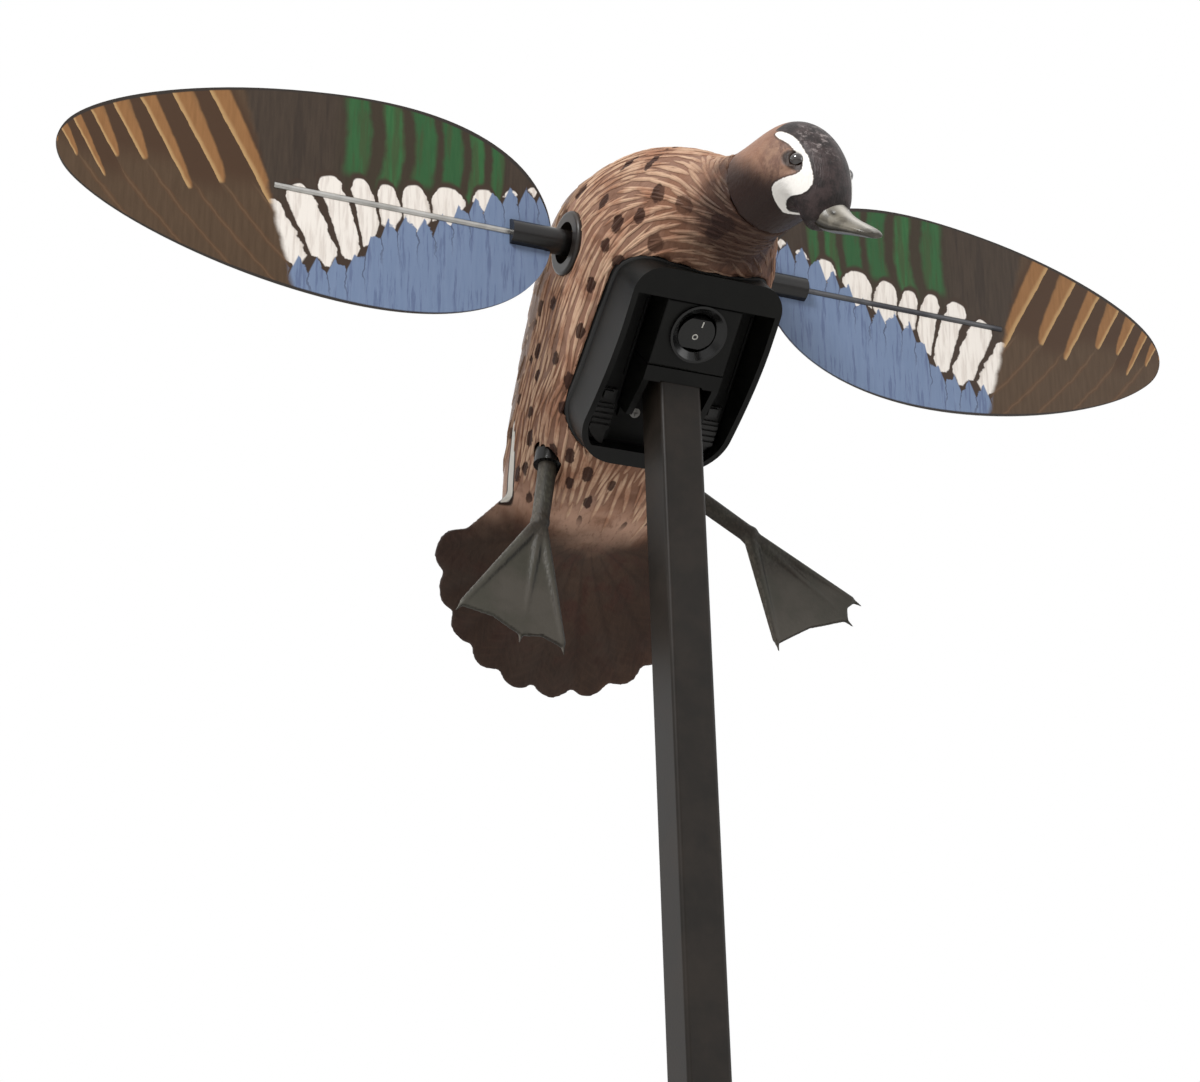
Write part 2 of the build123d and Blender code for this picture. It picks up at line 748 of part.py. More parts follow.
def armature_parts():
    """Turning parts of the motor."""
    core_radius = motor_radius - motor_wall - 2.2 - 0.5
    core = rod_x(core_radius, -7, 7)
    for i in range(3):
        slot = block(-8, 8, 4.2, 20, -1.1, 1.1) + rod_x(1.9, -8, 8, 5.8, 0)
        core -= Rot(120 * i, 0, 0) * slot
    core -= rod_x(shaft_radius, -20, 20)
    coils = [ring_x(core_radius - 1.6, shaft_radius + 0.8, -9.6, -7),
             ring_x(core_radius - 1.6, shaft_radius + 0.8, 7, 9.4)]
    commutator = ring_x(commutator_radius, shaft_radius, 9.8, 12.6)
    return core, coils, commutator


def shaft():
    return rod_x(shaft_radius, -shaft_end, shaft_end)


def coupler(side):
    """Sleeve on the shaft with a flatted spigot for the wing tube."""
    piece = rod_x(tube_radius, side * coupler_start, side * coupler_end)
    spigot = rod_x(spigot_radius, side * coupler_end, side * spigot_end)
    spigot -= block(-100, 100, -20, 20, spigot_flat, 20)
    piece += spigot
    piece -= rod_x(shaft_radius, side * (coupler_start - 1), side * shaft_end)
    piece -= rod_x(magnet_radius, side * (spigot_end - magnet_thickness), side * 90)
    piece -= Pos(side * (coupler_start + 5), 0, 0) * grub_blank()
    return piece


def grub_blank():
    """Radial screw that locks a coupler on the shaft."""
    low = shaft_radius
    high = tube_radius - 0.4
    return Pos(0, 0, (low + high) / 2) * Cylinder(1.5, high - low)


def coupler_grubs():
    return [Pos(s * (coupler_start + 5), 0, 0) * (grub_blank()
            - Pos(0, 0, tube_radius - 0.9) * Box(1.4, 1.4, 1.6)) for s in (-1, 1)]


def coupler_magnets():
    return [rod_x(magnet_radius, s * (spigot_end - magnet_thickness), s * spigot_end)
            for s in (-1, 1)]


def hub_cup(side):
    """Cup let into the flank, with a rounded flange and a bearing web."""
    outer = cup_seat + cup_flange_thickness
    cup = rod_x(cup_flange_radius, side * cup_seat, side * outer)
    rim = cup.edges().filter_by(GeomType.CIRCLE).sort_by(Axis.X)
    cup = fillet(rim[-1] if side > 0 else rim[0], cup_flange_thickness * 0.6)
    cup += rod_x(cup_barrel_radius, side * cup_inner_end, side * (cup_seat + 0.5))
    cup -= rod_x(cup_recess_radius, side * cup_recess_bottom, side * (outer + 1))
    cup -= rod_x(cup_bush_radius, side * (cup_inner_end - 1), side * (cup_recess_bottom + 1))
    return cup


def hub_bushes():
    return [ring_x(cup_bush_radius, tube_radius + run_gap, s * cup_inner_end,
                   s * cup_recess_bottom) for s in (-1, 1)]


def hub_nut(side):
    """Six-sided nut that holds a cup from inside the body."""
    start = cup_seat - body_wall - 3.9
    nut = Plane(origin=(side * start, 0, 0), z_dir=(-side, 0, 0)) * extrude(
        RegularPolygon(cup_barrel_radius + 3.2, 6), 4.0)
    return nut - rod_x(cup_barrel_radius, -100, 100)


def wing_blade_face():
    """Blade outline in the X, Z plane: a leaf, fuller towards the body."""
    half = (wing_half_span - wing_root) / 2
    middle = (wing_half_span + wing_root) / 2
    steps = 14
    upper = []
    lower = []
    for i in range(1, steps):
        u = -cos(pi * i / steps)
        top = wing_top_chord * (1 - 0.274 * u) * (1 - abs(u) ** 2.19) ** (1 / 2.19)
        bottom = wing_bottom_chord * (1 - 0.243 * u) * (1 - abs(u) ** 2.03) ** (1 / 2.03)
        upper.append((middle + half * u, top))
        lower.append((middle + half * u, -bottom))
    loop = [(wing_root, 0)] + upper + [(wing_half_span, 0)] + lower[::-1]
    return make_face(Spline(*loop, periodic=True))


def wing_blade(side):
    """Thin blade, slotted for its spine and notched round the tube."""
    face = Plane.XZ * wing_blade_face()
    blade = extrude(face, blade_thickness / 2, both=True)
    notch = spigot_end + 3.5
    blade -= block(wing_root - 5, notch, -5, 5, -tube_radius - 0.2, tube_radius + 0.2)
    blade -= block(notch - 1, spine_end, -5, 5, -spine_radius, spine_radius)
    if side < 0:
        blade = mirror(blade, about=Plane.YZ)
    return blade


def wing_spine(side):
    """Round stiffening bar along the blade's middle."""
    start = spigot_end + 6
    return rod_x(spine_radius, side * start, side * spine_end)


def wing_tube(side):
    """Tube that plugs on the coupler and grips the blade in a slot."""
    start = coupler_end + fit_gap
    bore_end = spigot_end
    tube = rod_x(tube_radius, side * start, side * tube_end)
    bore = rod_x(spigot_radius + 0.1, side * (start - 1), side * bore_end)
    bore -= block(-100, 100, -20, 20, spigot_flat + 0.1, 20)
    tube -= bore
    tube -= rod_x(magnet_radius, side * bore_end, side * (bore_end + magnet_thickness))
    half = blade_thickness / 2
    slot = on_side(side, spigot_end + 3.5, tube_end + 1, -half, half, -20, 20)
    tube -= slot
    tube -= rod_x(spine_radius, side * (spigot_end + 6), side * (tube_end + 1))
    return tube


def wing_magnet(side):
    return rod_x(magnet_radius, side * spigot_end, side * (spigot_end + magnet_thickness))


def tilted_wing(shape):
    """Turns a wing piece to its angle at rest."""
    return Rot(wing_rest_tilt, 0, 0) * shape


def leg(side):
    """Leg with a webbed foot: shank, three toes with claws, spur and web."""
    root, run, ankle, tips = leg_frame(side)
    outline = [ankle]
    for tip, following in zip(tips, tips[1:] + [None]):
        outline.append(ankle + (tip - ankle) * 0.94)
        if following is not None:
            between = (tip + following) * 0.5
            outline.append(ankle + (between - ankle) * 0.9)
    plane = Plane(origin=ankle, x_dir=tips[0] - ankle,
                  z_dir=(tips[0] - ankle).cross(tips[2] - ankle))
    flat = [plane.to_local_coords(point) for point in outline]
    web = make_face(Polyline(*[(p.X, p.Y) for p in flat], close=True))
    piece = plane * extrude(web, web_thickness / 2, both=True)
    piece += cone_between(root - run * 6, ankle, leg_root_radius, leg_ankle_radius)
    piece += Pos(*ankle) * Sphere(leg_ankle_radius + 0.5)
    for tip in tips:
        along = (tip - ankle).normalized()
        end = tip - along * claw_length
        piece += cone_between(ankle, end, toe_root_radius, toe_tip_radius)
        piece += cone_between(end - along * 1.5, tip, 0.85 * toe_tip_radius, 0.4)
    knee = ankle - run * 4
    piece += cone_between(knee, knee + Vector(0, 11, 3), 2.2, 0.7)
    return piece


def leg_grommet(side):
    """Soft socket that grips the leg's root in the body wall."""
    root, run, ankle, tips = leg_frame(side)
    ring = cone_between(root - run * 7, root + run * 1.5, grommet_radius, grommet_radius)
    ring -= cone_between(root - run * 6, ankle, leg_root_radius, leg_ankle_radius)
    return ring - cone_between(root - run * 9, root - run * 5.9, leg_root_radius,
                               leg_root_radius)


def square_tube(z0, z1):
    """Square tube with rounded corners, about the stake's axis."""
    outer = RectangleRounded(stake_side, stake_side, 2.0)
    inner = RectangleRounded(stake_side - 2 * stake_wall, stake_side - 2 * stake_wall, 0.8)
    return Pos(0, 0, z0) * extrude(outer - inner, z1 - z0)


def stake_parts():
    """Stake sections, cap, joiner, spike, and foot step, in the row frame."""
    top = wing_axis_height - stake_top_below_axis
    bore = stake_side - 2 * stake_wall
    cap_height = 3.0
    upper = square_tube(stake_joint_height, top - cap_height)
    cap = Pos(0, 0, top - cap_height) * extrude(RectangleRounded(stake_side, stake_side, 2.0),
                                                cap_height)
    cap += Pos(0, 0, top - cap_height - 12) * extrude(
        RectangleRounded(bore - 0.2, bore - 0.2, 0.8), 12)
    lower = square_tube(-20, stake_joint_height)
    plug = bore - 0.4
    joiner = Pos(0, 0, stake_joint_height - joiner_length / 2) * extrude(
        RectangleRounded(plug, plug, 1.2) - RectangleRounded(plug - 4, plug - 4, 0.8),
        joiner_length)
    rivet_z = stake_joint_height - joiner_length / 4
    rivet_hole = Pos(0, 0, rivet_z) * Rot(90, 0, 0) * Cylinder(2.0, 2 * stake_side)
    joiner -= rivet_hole
    lower -= rivet_hole
    for z in step_bolt_heights():
        lower -= rod_x(2.5, -stake_side, stake_side, 0, z)
    rivet = Pos(0, 0, rivet_z) * Rot(90, 0, 0) * Cylinder(2.0, stake_side)
    for s in (-1, 1):
        dome = Pos(0, s * stake_side / 2, rivet_z) * Rot(-90 * s, 0, 0)
        rivet += dome * Cylinder(3.4, 1.1, align=(Align.CENTER, Align.CENTER, Align.MIN))
    shank = Pos(0, 0, -20) * extrude(RectangleRounded(bore - 0.2, bore - 0.2, 0.8), spike_shank)
    point = loft([Pos(0, 0, -20) * RectangleRounded(stake_side, stake_side, 2.0),
                  Pos(0, 0, -spike_length) * RectangleRounded(3.0, 3.0, 0.6)])
    spike = shank + point
    for z in step_bolt_heights():
        spike -= rod_x(2.5, -stake_side, stake_side, 0, z)
    return upper, cap, lower, joiner, rivet, spike


def foot_step():
    """Bent flat bar bolted to the lower stake; its tread rests on the ground."""
    half = step_width / 2
    inner = stake_side / 2
    step = block(inner, inner + step_reach, -half, half, 0, step_thickness)
    step += block(inner, inner + step_thickness, -half, half, 0, step_rise)
    corner = step.edges().filter_by(Axis.Y).sort_by(
        lambda e: abs(e.center().X - inner) + abs(e.center().Z))[0]
    step = fillet(corner, step_thickness * 0.9)
    gusset = extrude(Plane.XZ * make_face(Polyline(
        (inner + step_thickness - 0.5, step_thickness - 0.5),
        (inner + step_thickness + 24, step_thickness - 0.5),
        (inner + step_thickness - 0.5, step_thickness + 24), close=True)), 1.5, both=True)
    for side in (-1, 1):
        step += Pos(0, side * (half - 1.5), 0) * gusset
    tip = step.edges().filter_by(Axis.Z).sort_by(Axis.X)[-2:]
    step = fillet(tip, 8)
    for z in step_bolt_heights():
        for y in step_bolt_sides():
            step -= Pos(inner, y, z) * Rot(0, 90, 0) * Cylinder(2.5, 20)
    return step


def step_bolt_heights():
    return [14.0, 36.0]


def step_bolt_sides():
    return [0.0]


def step_bolts():
    """Through bolts of the foot step, with heads and nuts."""
    inner = stake_side / 2
    bolts = []
    for z in step_bolt_heights():
        bolt = rod_x(2.5, -inner - 6.0, inner + step_thickness, 0, z)
        head = Pos(inner + step_thickness + 1.75, 0, z) * Rot(0, 90, 0) * extrude(
            RegularPolygon(4.6, 6), 1.75, both=True)
        nut = Pos(-inner - 2.0, 0, z) * Rot(0, 90, 0) * extrude(
            RegularPolygon(4.6, 6), 2.0, both=True)
        bolts.append(bolt + head + nut)
    return bolts


# ---- build ----
parts = {}


def keep(name, shape):
    """Stores a node; several solids in one node stay separate."""
    if isinstance(shape, (list, tuple, ShapeList)):
        shape = Compound(children=[piece for piece in shape])
    parts[name] = shape


body, head, bill, seal, head_skin = body_and_head()
eyes, eye_sockets = eye_pieces(head_skin)
for socket in eye_sockets:
    head -= socket

body_row = on_duck(body)
for side in (-1, 1):
    root, run, ankle, tips = leg_frame(side)
    body_row -= cone_between(root - run * 16, root + run * 10, grommet_radius, grommet_radius)

keep("body_shell", body_row)
keep("head", on_duck(head))
keep("bill", on_duck(bill))
keep("eyes", [on_duck(eye) for eye in eyes])
keep("belly_box_seal", on_duck(seal))
keep("control_box", on_duck(control_box()))
keep("switch_console", on_duck(switch_console()))
keep("switch_body", on_duck(switch_body()))
keep("switch_rocker", on_duck(rocker()))
keep("switch_terminals", [on_duck(piece) for piece in switch_terminals()])
keep("stake_socket", on_duck(stake_socket()))
keep("socket_screws", [on_duck(piece) for piece in socket_screws()])
keep("door_hinge_pins", [on_duck(piece) for piece in hinge_pins()])
keep("battery_cells", [on_duck(piece) for piece in battery_cells()])
keep("battery_contacts", [on_duck(piece) for piece in battery_contacts()])

keep("motor_cradle", on_axis(motor_cradle()))
keep("motor_strap", on_axis(motor_strap()))
keep("strap_screws", [on_axis(piece) for piece in strap_screws()])
can, cap, bushes, magnets, brushes = motor_parts()
keep("motor_can", on_axis(can))
keep("motor_end_cap", on_axis(cap))
keep("motor_bushes", [on_axis(piece) for piece in bushes])
keep("motor_field_magnets", [on_axis(piece) for piece in magnets])
keep("motor_brushes", [on_axis(piece) for piece in brushes])
core, coils, commutator = armature_parts()
keep("armature_core", on_axis(core))
keep("armature_coils", [on_axis(piece) for piece in coils])
keep("commutator", on_axis(commutator))
keep("drive_shaft", on_axis(shaft()))
keep("hub_bushes", [on_axis(piece) for piece in hub_bushes()])
keep("coupler_grub_screws", [on_axis(tilted_wing(piece)) for piece in coupler_grubs()])
keep("coupler_magnets", [on_axis(piece) for piece in coupler_magnets()])

for word, side in (("left", 1), ("right", -1)):
    keep(f"battery_door_{word}", on_duck(battery_door(side)))
    keep(f"door_latch_{word}", on_duck(latch(side)))
    keep(f"hub_cup_{word}", on_axis(hub_cup(side)))
    keep(f"hub_nut_{word}", on_axis(hub_nut(side)))
    keep(f"shaft_coupler_{word}", on_axis(tilted_wing(coupler(side))))
    keep(f"wing_{word}_blade", on_axis(tilted_wing(wing_blade(side))))
    keep(f"wing_{word}_spine", on_axis(wing_spine(side)))
    keep(f"wing_{word}_tube", on_axis(tilted_wing(wing_tube(side))))
    keep(f"wing_{word}_magnet", on_axis(wing_magnet(side)))
    keep(f"leg_{word}", leg(side))
    keep(f"leg_grommet_{word}", leg_grommet(side))

upper, cap, lower, joiner, rivet, spike = stake_parts()
keep("stake_upper", upper)
keep("stake_cap", cap)
keep("stake_lower", lower)
keep("stake_joiner", joiner)
keep("joiner_rivet", rivet)
keep("stake_spike", spike)
keep("foot_step", foot_step())
keep("step_bolts", step_bolts())

for name, shape in parts.items():
    export_step(shape, f"parts/{name}.step")
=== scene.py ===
import math

import bmesh
import bpy
import numpy as np
from mathutils import Matrix, Vector


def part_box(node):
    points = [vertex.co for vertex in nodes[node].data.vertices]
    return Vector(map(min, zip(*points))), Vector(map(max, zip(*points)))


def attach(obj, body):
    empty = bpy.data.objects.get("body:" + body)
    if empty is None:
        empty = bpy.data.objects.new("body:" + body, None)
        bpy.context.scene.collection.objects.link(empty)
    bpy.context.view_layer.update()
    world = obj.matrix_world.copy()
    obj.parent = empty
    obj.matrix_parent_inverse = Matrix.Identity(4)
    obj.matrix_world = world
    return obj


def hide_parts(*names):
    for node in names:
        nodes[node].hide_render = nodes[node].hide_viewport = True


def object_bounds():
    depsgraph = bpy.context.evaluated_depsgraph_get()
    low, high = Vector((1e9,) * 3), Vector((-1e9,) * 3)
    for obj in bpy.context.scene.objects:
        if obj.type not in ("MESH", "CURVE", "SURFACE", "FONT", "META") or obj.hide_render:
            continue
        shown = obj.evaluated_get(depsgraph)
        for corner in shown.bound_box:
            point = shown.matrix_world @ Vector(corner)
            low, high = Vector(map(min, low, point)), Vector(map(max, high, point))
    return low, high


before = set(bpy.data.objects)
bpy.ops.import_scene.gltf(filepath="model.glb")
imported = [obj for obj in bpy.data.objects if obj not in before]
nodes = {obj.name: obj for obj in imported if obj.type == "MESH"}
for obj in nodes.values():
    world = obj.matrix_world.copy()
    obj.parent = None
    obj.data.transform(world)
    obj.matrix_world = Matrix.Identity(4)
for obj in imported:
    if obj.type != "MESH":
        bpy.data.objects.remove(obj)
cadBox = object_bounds()
scene = bpy.context.scene

# the duck is worked out level, in millimetres about the wing axis, then tipped nose-up
duck = {"back": 6.0, "height": 760.0, "pitch": math.radians(44), "wingTilt": math.radians(2.8)}


def toLevel(points):  # metres in the frame -> millimetres in the level duck
    y = points[:, 1] * 1000 - duck["back"]
    z = points[:, 2] * 1000 - duck["height"]
    c, s = math.cos(duck["pitch"]), math.sin(duck["pitch"])
    return np.stack([points[:, 0] * 1000, y * c - z * s, y * s + z * c], 1)


levelTurn = np.array(Matrix.Rotation(duck["pitch"], 3, "X"))


def toFrame(points):  # millimetres in the level duck -> metres in the frame
    x, v, w = np.asarray(points, float).T
    c, s = math.cos(duck["pitch"]), math.sin(duck["pitch"])
    return np.stack([x, duck["back"] + v * c + w * s, duck["height"] - v * s + w * c], 1) / 1000


def smooth(value, low, high):  # soft step from 0 at low to 1 at high
    t = np.clip((value - low) / (high - low), 0, 1)
    return t * t * (3 - 2 * t)


def fold(value):  # 0.5 at each whole number and 0 midway between two
    return abs((value % 1) - 0.5)


def whole(value):  # the whole number below
    return value - (value % 1)


# head plane: side is off the head's middle plane, rise is towards the crown, reach along the bill
headMiddle = np.array([11.0, -84.0, -115.0])
headSide = np.array([0.96593, 0.11349, 0.23258])
headRise = np.array([0.11034, -0.99354, 0.02657])
headReach = np.array([0.23410, 0.0, -0.97221])


def tone(red, green, blue):  # a colour as a screen shows it, 0 to 255
    def light(c):
        c = c / 255
        return c / 12.92 if c <= 0.04045 else ((c + 0.055) / 1.055) ** 2.4
    return (light(red), light(green), light(blue), 1.0)


class Flow:  # one socket of a tree, for sums written as sums
    def __init__(self, finish, socket):
        self.finish, self.socket = finish, socket

    def out(self, which):
        return Flow(self.finish, self.socket.node.outputs[which])

    def __add__(self, other): return self.finish.maths("ADD", self, other)
    def __radd__(self, other): return self.finish.maths("ADD", other, self)
    def __sub__(self, other): return self.finish.maths("SUBTRACT", self, other)
    def __rsub__(self, other): return self.finish.maths("SUBTRACT", other, self)
    def __mul__(self, other): return self.finish.maths("MULTIPLY", self, other)
    def __rmul__(self, other): return self.finish.maths("MULTIPLY", other, self)
    def __truediv__(self, other): return self.finish.maths("DIVIDE", self, other)
    def __rtruediv__(self, other): return self.finish.maths("DIVIDE", other, self)
    def __pow__(self, other): return self.finish.maths("POWER", self, other)
    def __abs__(self): return self.finish.maths("ABSOLUTE", self)
    def __mod__(self, other): return self.finish.maths("FLOORED_MODULO", self, other)


class Graph:  # makes the nodes of a shader or a Geometry Nodes tree
    def node(self, kind, settings=None, sockets=None):
        full = kind.startswith(("Geometry", "Function", "Node"))
        made = self.tree.nodes.new(kind if full else "ShaderNode" + kind)
        for key, value in (settings or {}).items():
            if key == "points":
                curve = made.mapping.curves[0]
                for i, (across, up) in enumerate(value):
                    if i < 2:
                        curve.points[i].location = across, up
                    else:
                        curve.points.new(across, up)
                made.mapping.update()
            else:
                setattr(made, key, value)
        for key, value in (sockets or {}).items():
            if isinstance(value, Flow):
                self.tree.links.new(value.socket, made.inputs[key])
            else:
                made.inputs[key].default_value = value
        return Flow(self, made.outputs[0])

    def maths(self, operation, first, second=None):
        sockets = {0: first} if second is None else {0: first, 1: second}
        return self.node("Math", {"operation": operation}, sockets)


class Finish(Graph):  # a material, and the sockets of its Principled shader
    def __init__(self, name, look=None, **skin):
        self.look = look
        self.material = bpy.data.materials.new(name)
        self.material.use_nodes = True
        self.tree = self.material.node_tree
        self.skin = self.tree.nodes["Principled BSDF"]
        for socket, value in skin.items():
            self.skin.inputs[socketNames[socket]].default_value = value

    def place(self):
        return self.node("TexCoord").out("Object")

    def turned(self, vector, turn=(0, 0, 0), shift=(0, 0, 0), size=(1, 1, 1)):
        sockets = {"Vector": vector, "Rotation": turn, "Location": shift, "Scale": size}
        return self.node("Mapping", None, sockets)

    # millimetres about a point on the middle plane, turned about X
    def aligned(self, turn, back, height):
        move = -(Matrix.Rotation(turn, 3, "X") @ Vector((0, back, height)))
        return self.turned(self.place(), (turn, 0, 0), move, (1000, 1000, 1000))

    def level(self):
        return self.aligned(duck["pitch"], duck["back"], duck["height"])

    def parts(self, vector):
        split = self.node("SeparateXYZ", None, {0: vector})
        return split, split.out(1), split.out(2)

    def along(self, vector, axis):  # from the head's middle, along one of its directions
        middle, axis = tuple(headMiddle), tuple(axis)
        offset = self.node("VectorMath", {"operation": "SUBTRACT"}, {0: vector, 1: middle})
        product = self.node("VectorMath", {"operation": "DOT_PRODUCT"}, {0: offset, 1: axis})
        return product.out("Value")

    def cloud(self, vector, scale, detail=3.0, roughness=0.55, kind="3D"):
        sockets = {"Vector": vector, "Scale": scale, "Detail": detail, "Roughness": roughness}
        return self.node("TexNoise", {"noise_dimensions": kind}, sockets)

    def cells(self, vector, kind="3D"):
        sockets = {"Vector": vector, "Scale": 1.0}
        return self.node("TexVoronoi", {"voronoi_dimensions": kind}, sockets)

    def step(self, value, low, high):
        sockets = {0: value, 1: low, 2: high}
        return self.node("MapRange", {"interpolation_type": "SMOOTHSTEP"}, sockets)

    def larger(self, a, b):
        return self.maths("MAXIMUM", a, b)

    def smaller(self, a, b):
        return self.maths("MINIMUM", a, b)

    def wave(self, value):
        return self.maths("SINE", value)

    def root(self, value):
        return self.maths("SQRT", value)

    def lot(self, value):  # a number from 0 to 1, drawn once for each value
        return self.node("TexWhiteNoise", {"noise_dimensions": "1D"}, {"W": value})

    def colour(self, factor, a, b):  # a name stands for a colour in the piece's own values
        a, b = (tone(*self.look[c]) if isinstance(c, str) else c for c in (a, b))
        return self.node("Mix", {"data_type": "RGBA"}, {0: factor, 6: a, 7: b}).out(2)

    def curve(self, value, points, base, top):  # a line through given points, over value
        low, high = points[0][0], points[-1][0]
        share = (value - low) / (high - low)
        line = [((a - low) / (high - low), (b - base) / (top - base)) for a, b in points]
        drawn = self.node("FloatCurve", {"points": line}, {"Factor": 1.0, "Value": share})
        return drawn * (top - base) + base

    # counts bands along a way, each wider than the last by change
    def bands(self, way, width, change):
        inside = way * (2 * change) + width ** 2
        return (self.root(self.larger(inside, 0.01)) - width) / change

    def attribute(self, name):
        return self.node("Attribute", {"attribute_name": name}).out("Fac")

    def paint(self, colour):
        self.feed("Base Color", colour)

    def feed(self, socket, value):
        self.tree.links.new(value.socket, self.skin.inputs[socket])

    def relief(self, height, strength=1.0):  # height in millimetres
        bump = self.node("Bump", None, {"Height": height, "Distance": 0.001, "Strength": strength})
        self.feed("Normal", bump)


socketNames = {"rough": "Roughness", "metal": "Metallic", "specular": "Specular IOR Level",
               "coat": "Coat Weight", "coatRough": "Coat Roughness"}


class Recipe(Graph):  # a Geometry Nodes tree, and the sizes that it is given
    def __init__(self, name, sizes):
        self.name, self.sizes = name, sizes
        self.tree = bpy.data.node_groups.new(name, "GeometryNodeTree")
        self.tree.is_modifier = True
        for way in ("INPUT", "OUTPUT"):
            self.tree.interface.new_socket("Mesh", in_out=way, socket_type="NodeSocketGeometry")
        for key, value in sizes.items():
            kind = "NodeSocketInt" if isinstance(value, int) else "NodeSocketFloat"
            self.tree.interface.new_socket(key, in_out="INPUT", socket_type=kind)
        self.start = self.node("NodeGroupInput")

    def size(self, name):
        return self.start.out(name)

    def stored(self, name, kind="FLOAT"):
        return self.node("GeometryNodeInputNamedAttribute", {"data_type": kind}, {"Name": name})

    def grow(self, result, finish, made):  # ends the tree and turns the object into its plain mesh
        whole = self.node("GeometryNodeRealizeInstances", None, {"Geometry": result})
        sockets = {"Geometry": whole, "Material": finish.material}
        coated = self.node("GeometryNodeSetMaterial", None, sockets)
        end = self.tree.nodes.new("NodeGroupOutput")
        self.tree.links.new(coated.socket, end.inputs[0])
        modifier = made.modifiers.new(self.name, "NODES")
        modifier.node_group = self.tree
        for item in self.tree.interface.items_tree:
            if item.name in self.sizes:
                modifier[item.identifier] = self.sizes[item.name]
        return settle(made)


# the camera's place in metres, and its turns in degrees
view = {"place": (-0.5165, -0.9994, 0.1506), "yaw": 25.46, "lift": 22.13, "roll": -1.69,
        "lens": 76.39, "sensor": 36, "clip": (0.01, 50)}


def setCamera():
    yaw, lift, roll = (math.radians(view[k]) for k in ("yaw", "lift", "roll"))
    turn = (Matrix.Rotation(-yaw, 4, "Z") @ Matrix.Rotation(math.pi / 2 + lift, 4, "X")
            @ Matrix.Rotation(roll, 4, "Z"))
    camera = bpy.data.objects.new("camera", bpy.data.cameras.new("camera"))
    camera.data.lens = view["lens"]
    camera.data.sensor_width = view["sensor"]
    camera.data.clip_start, camera.data.clip_end = view["clip"]
    camera.matrix_world = Matrix.Translation(view["place"]) @ turn
    scene.collection.objects.link(camera)
    scene.camera = camera


lights = {"sky": 0.46, "aim": (0, 0, 0.7)}
lamps = {"keyLamp": {"place": (-1.5, -1.3, 2.2), "size": (0.9, 0.5), "power": 52},
         "fillLamp": {"place": (1.9, -1.5, 1.1), "size": (1.2, 1.2), "power": 8},
         "backLamp": {"place": (0.4, 2.0, 1.8), "size": (1.2, 1.0), "power": 9}}


def setLamp(name, place, size, power):
    lamp = bpy.data.objects.new(name, bpy.data.lights.new(name, "AREA"))
    lamp.data.shape = "RECTANGLE"
    lamp.data.size, lamp.data.size_y = size
    lamp.data.energy = power
    way = (Vector(lights["aim"]) - Vector(place)).to_track_quat("-Z", "Y").to_matrix().to_4x4()
    lamp.matrix_world = Matrix.Translation(place) @ way
    scene.collection.objects.link(lamp)


def setStudio():
    scene.view_settings.view_transform = "Standard"
    for name, lamp in lamps.items():
        setLamp(name, **lamp)
    world = bpy.data.worlds.new("studio")
    world.use_nodes = True
    scene.world = world
    tree = world.node_tree
    # white where the camera, a mirror or glass sees it, and dimmer where it only lights
    path = tree.nodes.new("ShaderNodeLightPath")
    seen = path.outputs["Is Camera Ray"]
    for kind in ("Is Glossy Ray", "Is Transmission Ray"):
        either = tree.nodes.new("ShaderNodeMath")
        either.operation = "MAXIMUM"
        tree.links.new(seen, either.inputs[0])
        tree.links.new(path.outputs[kind], either.inputs[1])
        seen = either.outputs[0]
    level = tree.nodes.new("ShaderNodeMapRange")
    level.inputs["To Min"].default_value = lights["sky"]
    level.inputs["To Max"].default_value = 1.0
    tree.links.new(seen, level.inputs["Value"])
    background = tree.nodes["Background"]
    background.inputs["Color"].default_value = (1, 1, 1, 1)
    tree.links.new(level.outputs[0], background.inputs["Strength"])


floorSheet = {"radius": 6.0, "below": 0.0005, "tone": (226, 225, 222), "grain": (234, 233, 231),
              "far": (0.6, 3.2), "glow": (0.5, 0.5, 0.49, 1)}


def layFloor():
    lowest = cadBox[0].z - floorSheet["below"]
    ring = bmesh.new()
    bmesh.ops.create_circle(ring, cap_ends=True, radius=floorSheet["radius"], segments=96,
                            matrix=Matrix.Translation((0, 0, lowest)))
    floor = meshFrom("floor", ring)
    f = Finish("floorPaper", floorSheet, rough=0.9, specular=0.1)
    grain = f.cloud(f.place(), 60, 4)
    f.paint(f.colour(grain, "tone", "grain"))
    # far off, where the lamps don't reach, the paper glows for the camera alone
    across, back = f.parts(f.place())[:2]
    far = f.step(f.root(across * across + back * back), *floorSheet["far"])
    seen = f.node("LightPath").out("Is Camera Ray")
    f.feed("Emission Color", f.colour(far * seen, (0, 0, 0, 1), floorSheet["glow"]))
    f.skin.inputs["Emission Strength"].default_value = 1.0
    floor.data.materials.append(f.material)


def meshFrom(name, working):
    data = bpy.data.meshes.new(name)
    working.to_mesh(data)
    working.free()
    made = bpy.data.objects.new(name, data)
    scene.collection.objects.link(made)
    return made


remeshing = {"merge": 2e-6, "smooth": 0.5, "rounds": 4}


def settle(made, *modifiers):  # turns modifiers into a plain mesh
    for kind, values in modifiers:
        modifier = made.modifiers.new(kind, kind)
        for key, value in values.items():
            setattr(modifier, key, value)
    graph = bpy.context.evaluated_depsgraph_get()
    data = bpy.data.meshes.new_from_object(made.evaluated_get(graph))
    made.modifiers.clear()
    old = made.data
    made.data = data
    bpy.data.meshes.remove(old)
    return made


def remeshed(nodeName, name, voxel):  # a node's loose triangles, joined and made even
    working = bmesh.new()
    working.from_mesh(nodes[nodeName].data)
    bmesh.ops.remove_doubles(working, verts=working.verts, dist=remeshing["merge"])
    return settle(meshFrom(name, working),
                  ("REMESH", {"mode": "VOXEL", "voxel_size": voxel, "use_smooth_shade": True}),
                  ("SMOOTH", {"factor": remeshing["smooth"], "iterations": remeshing["rounds"]}))


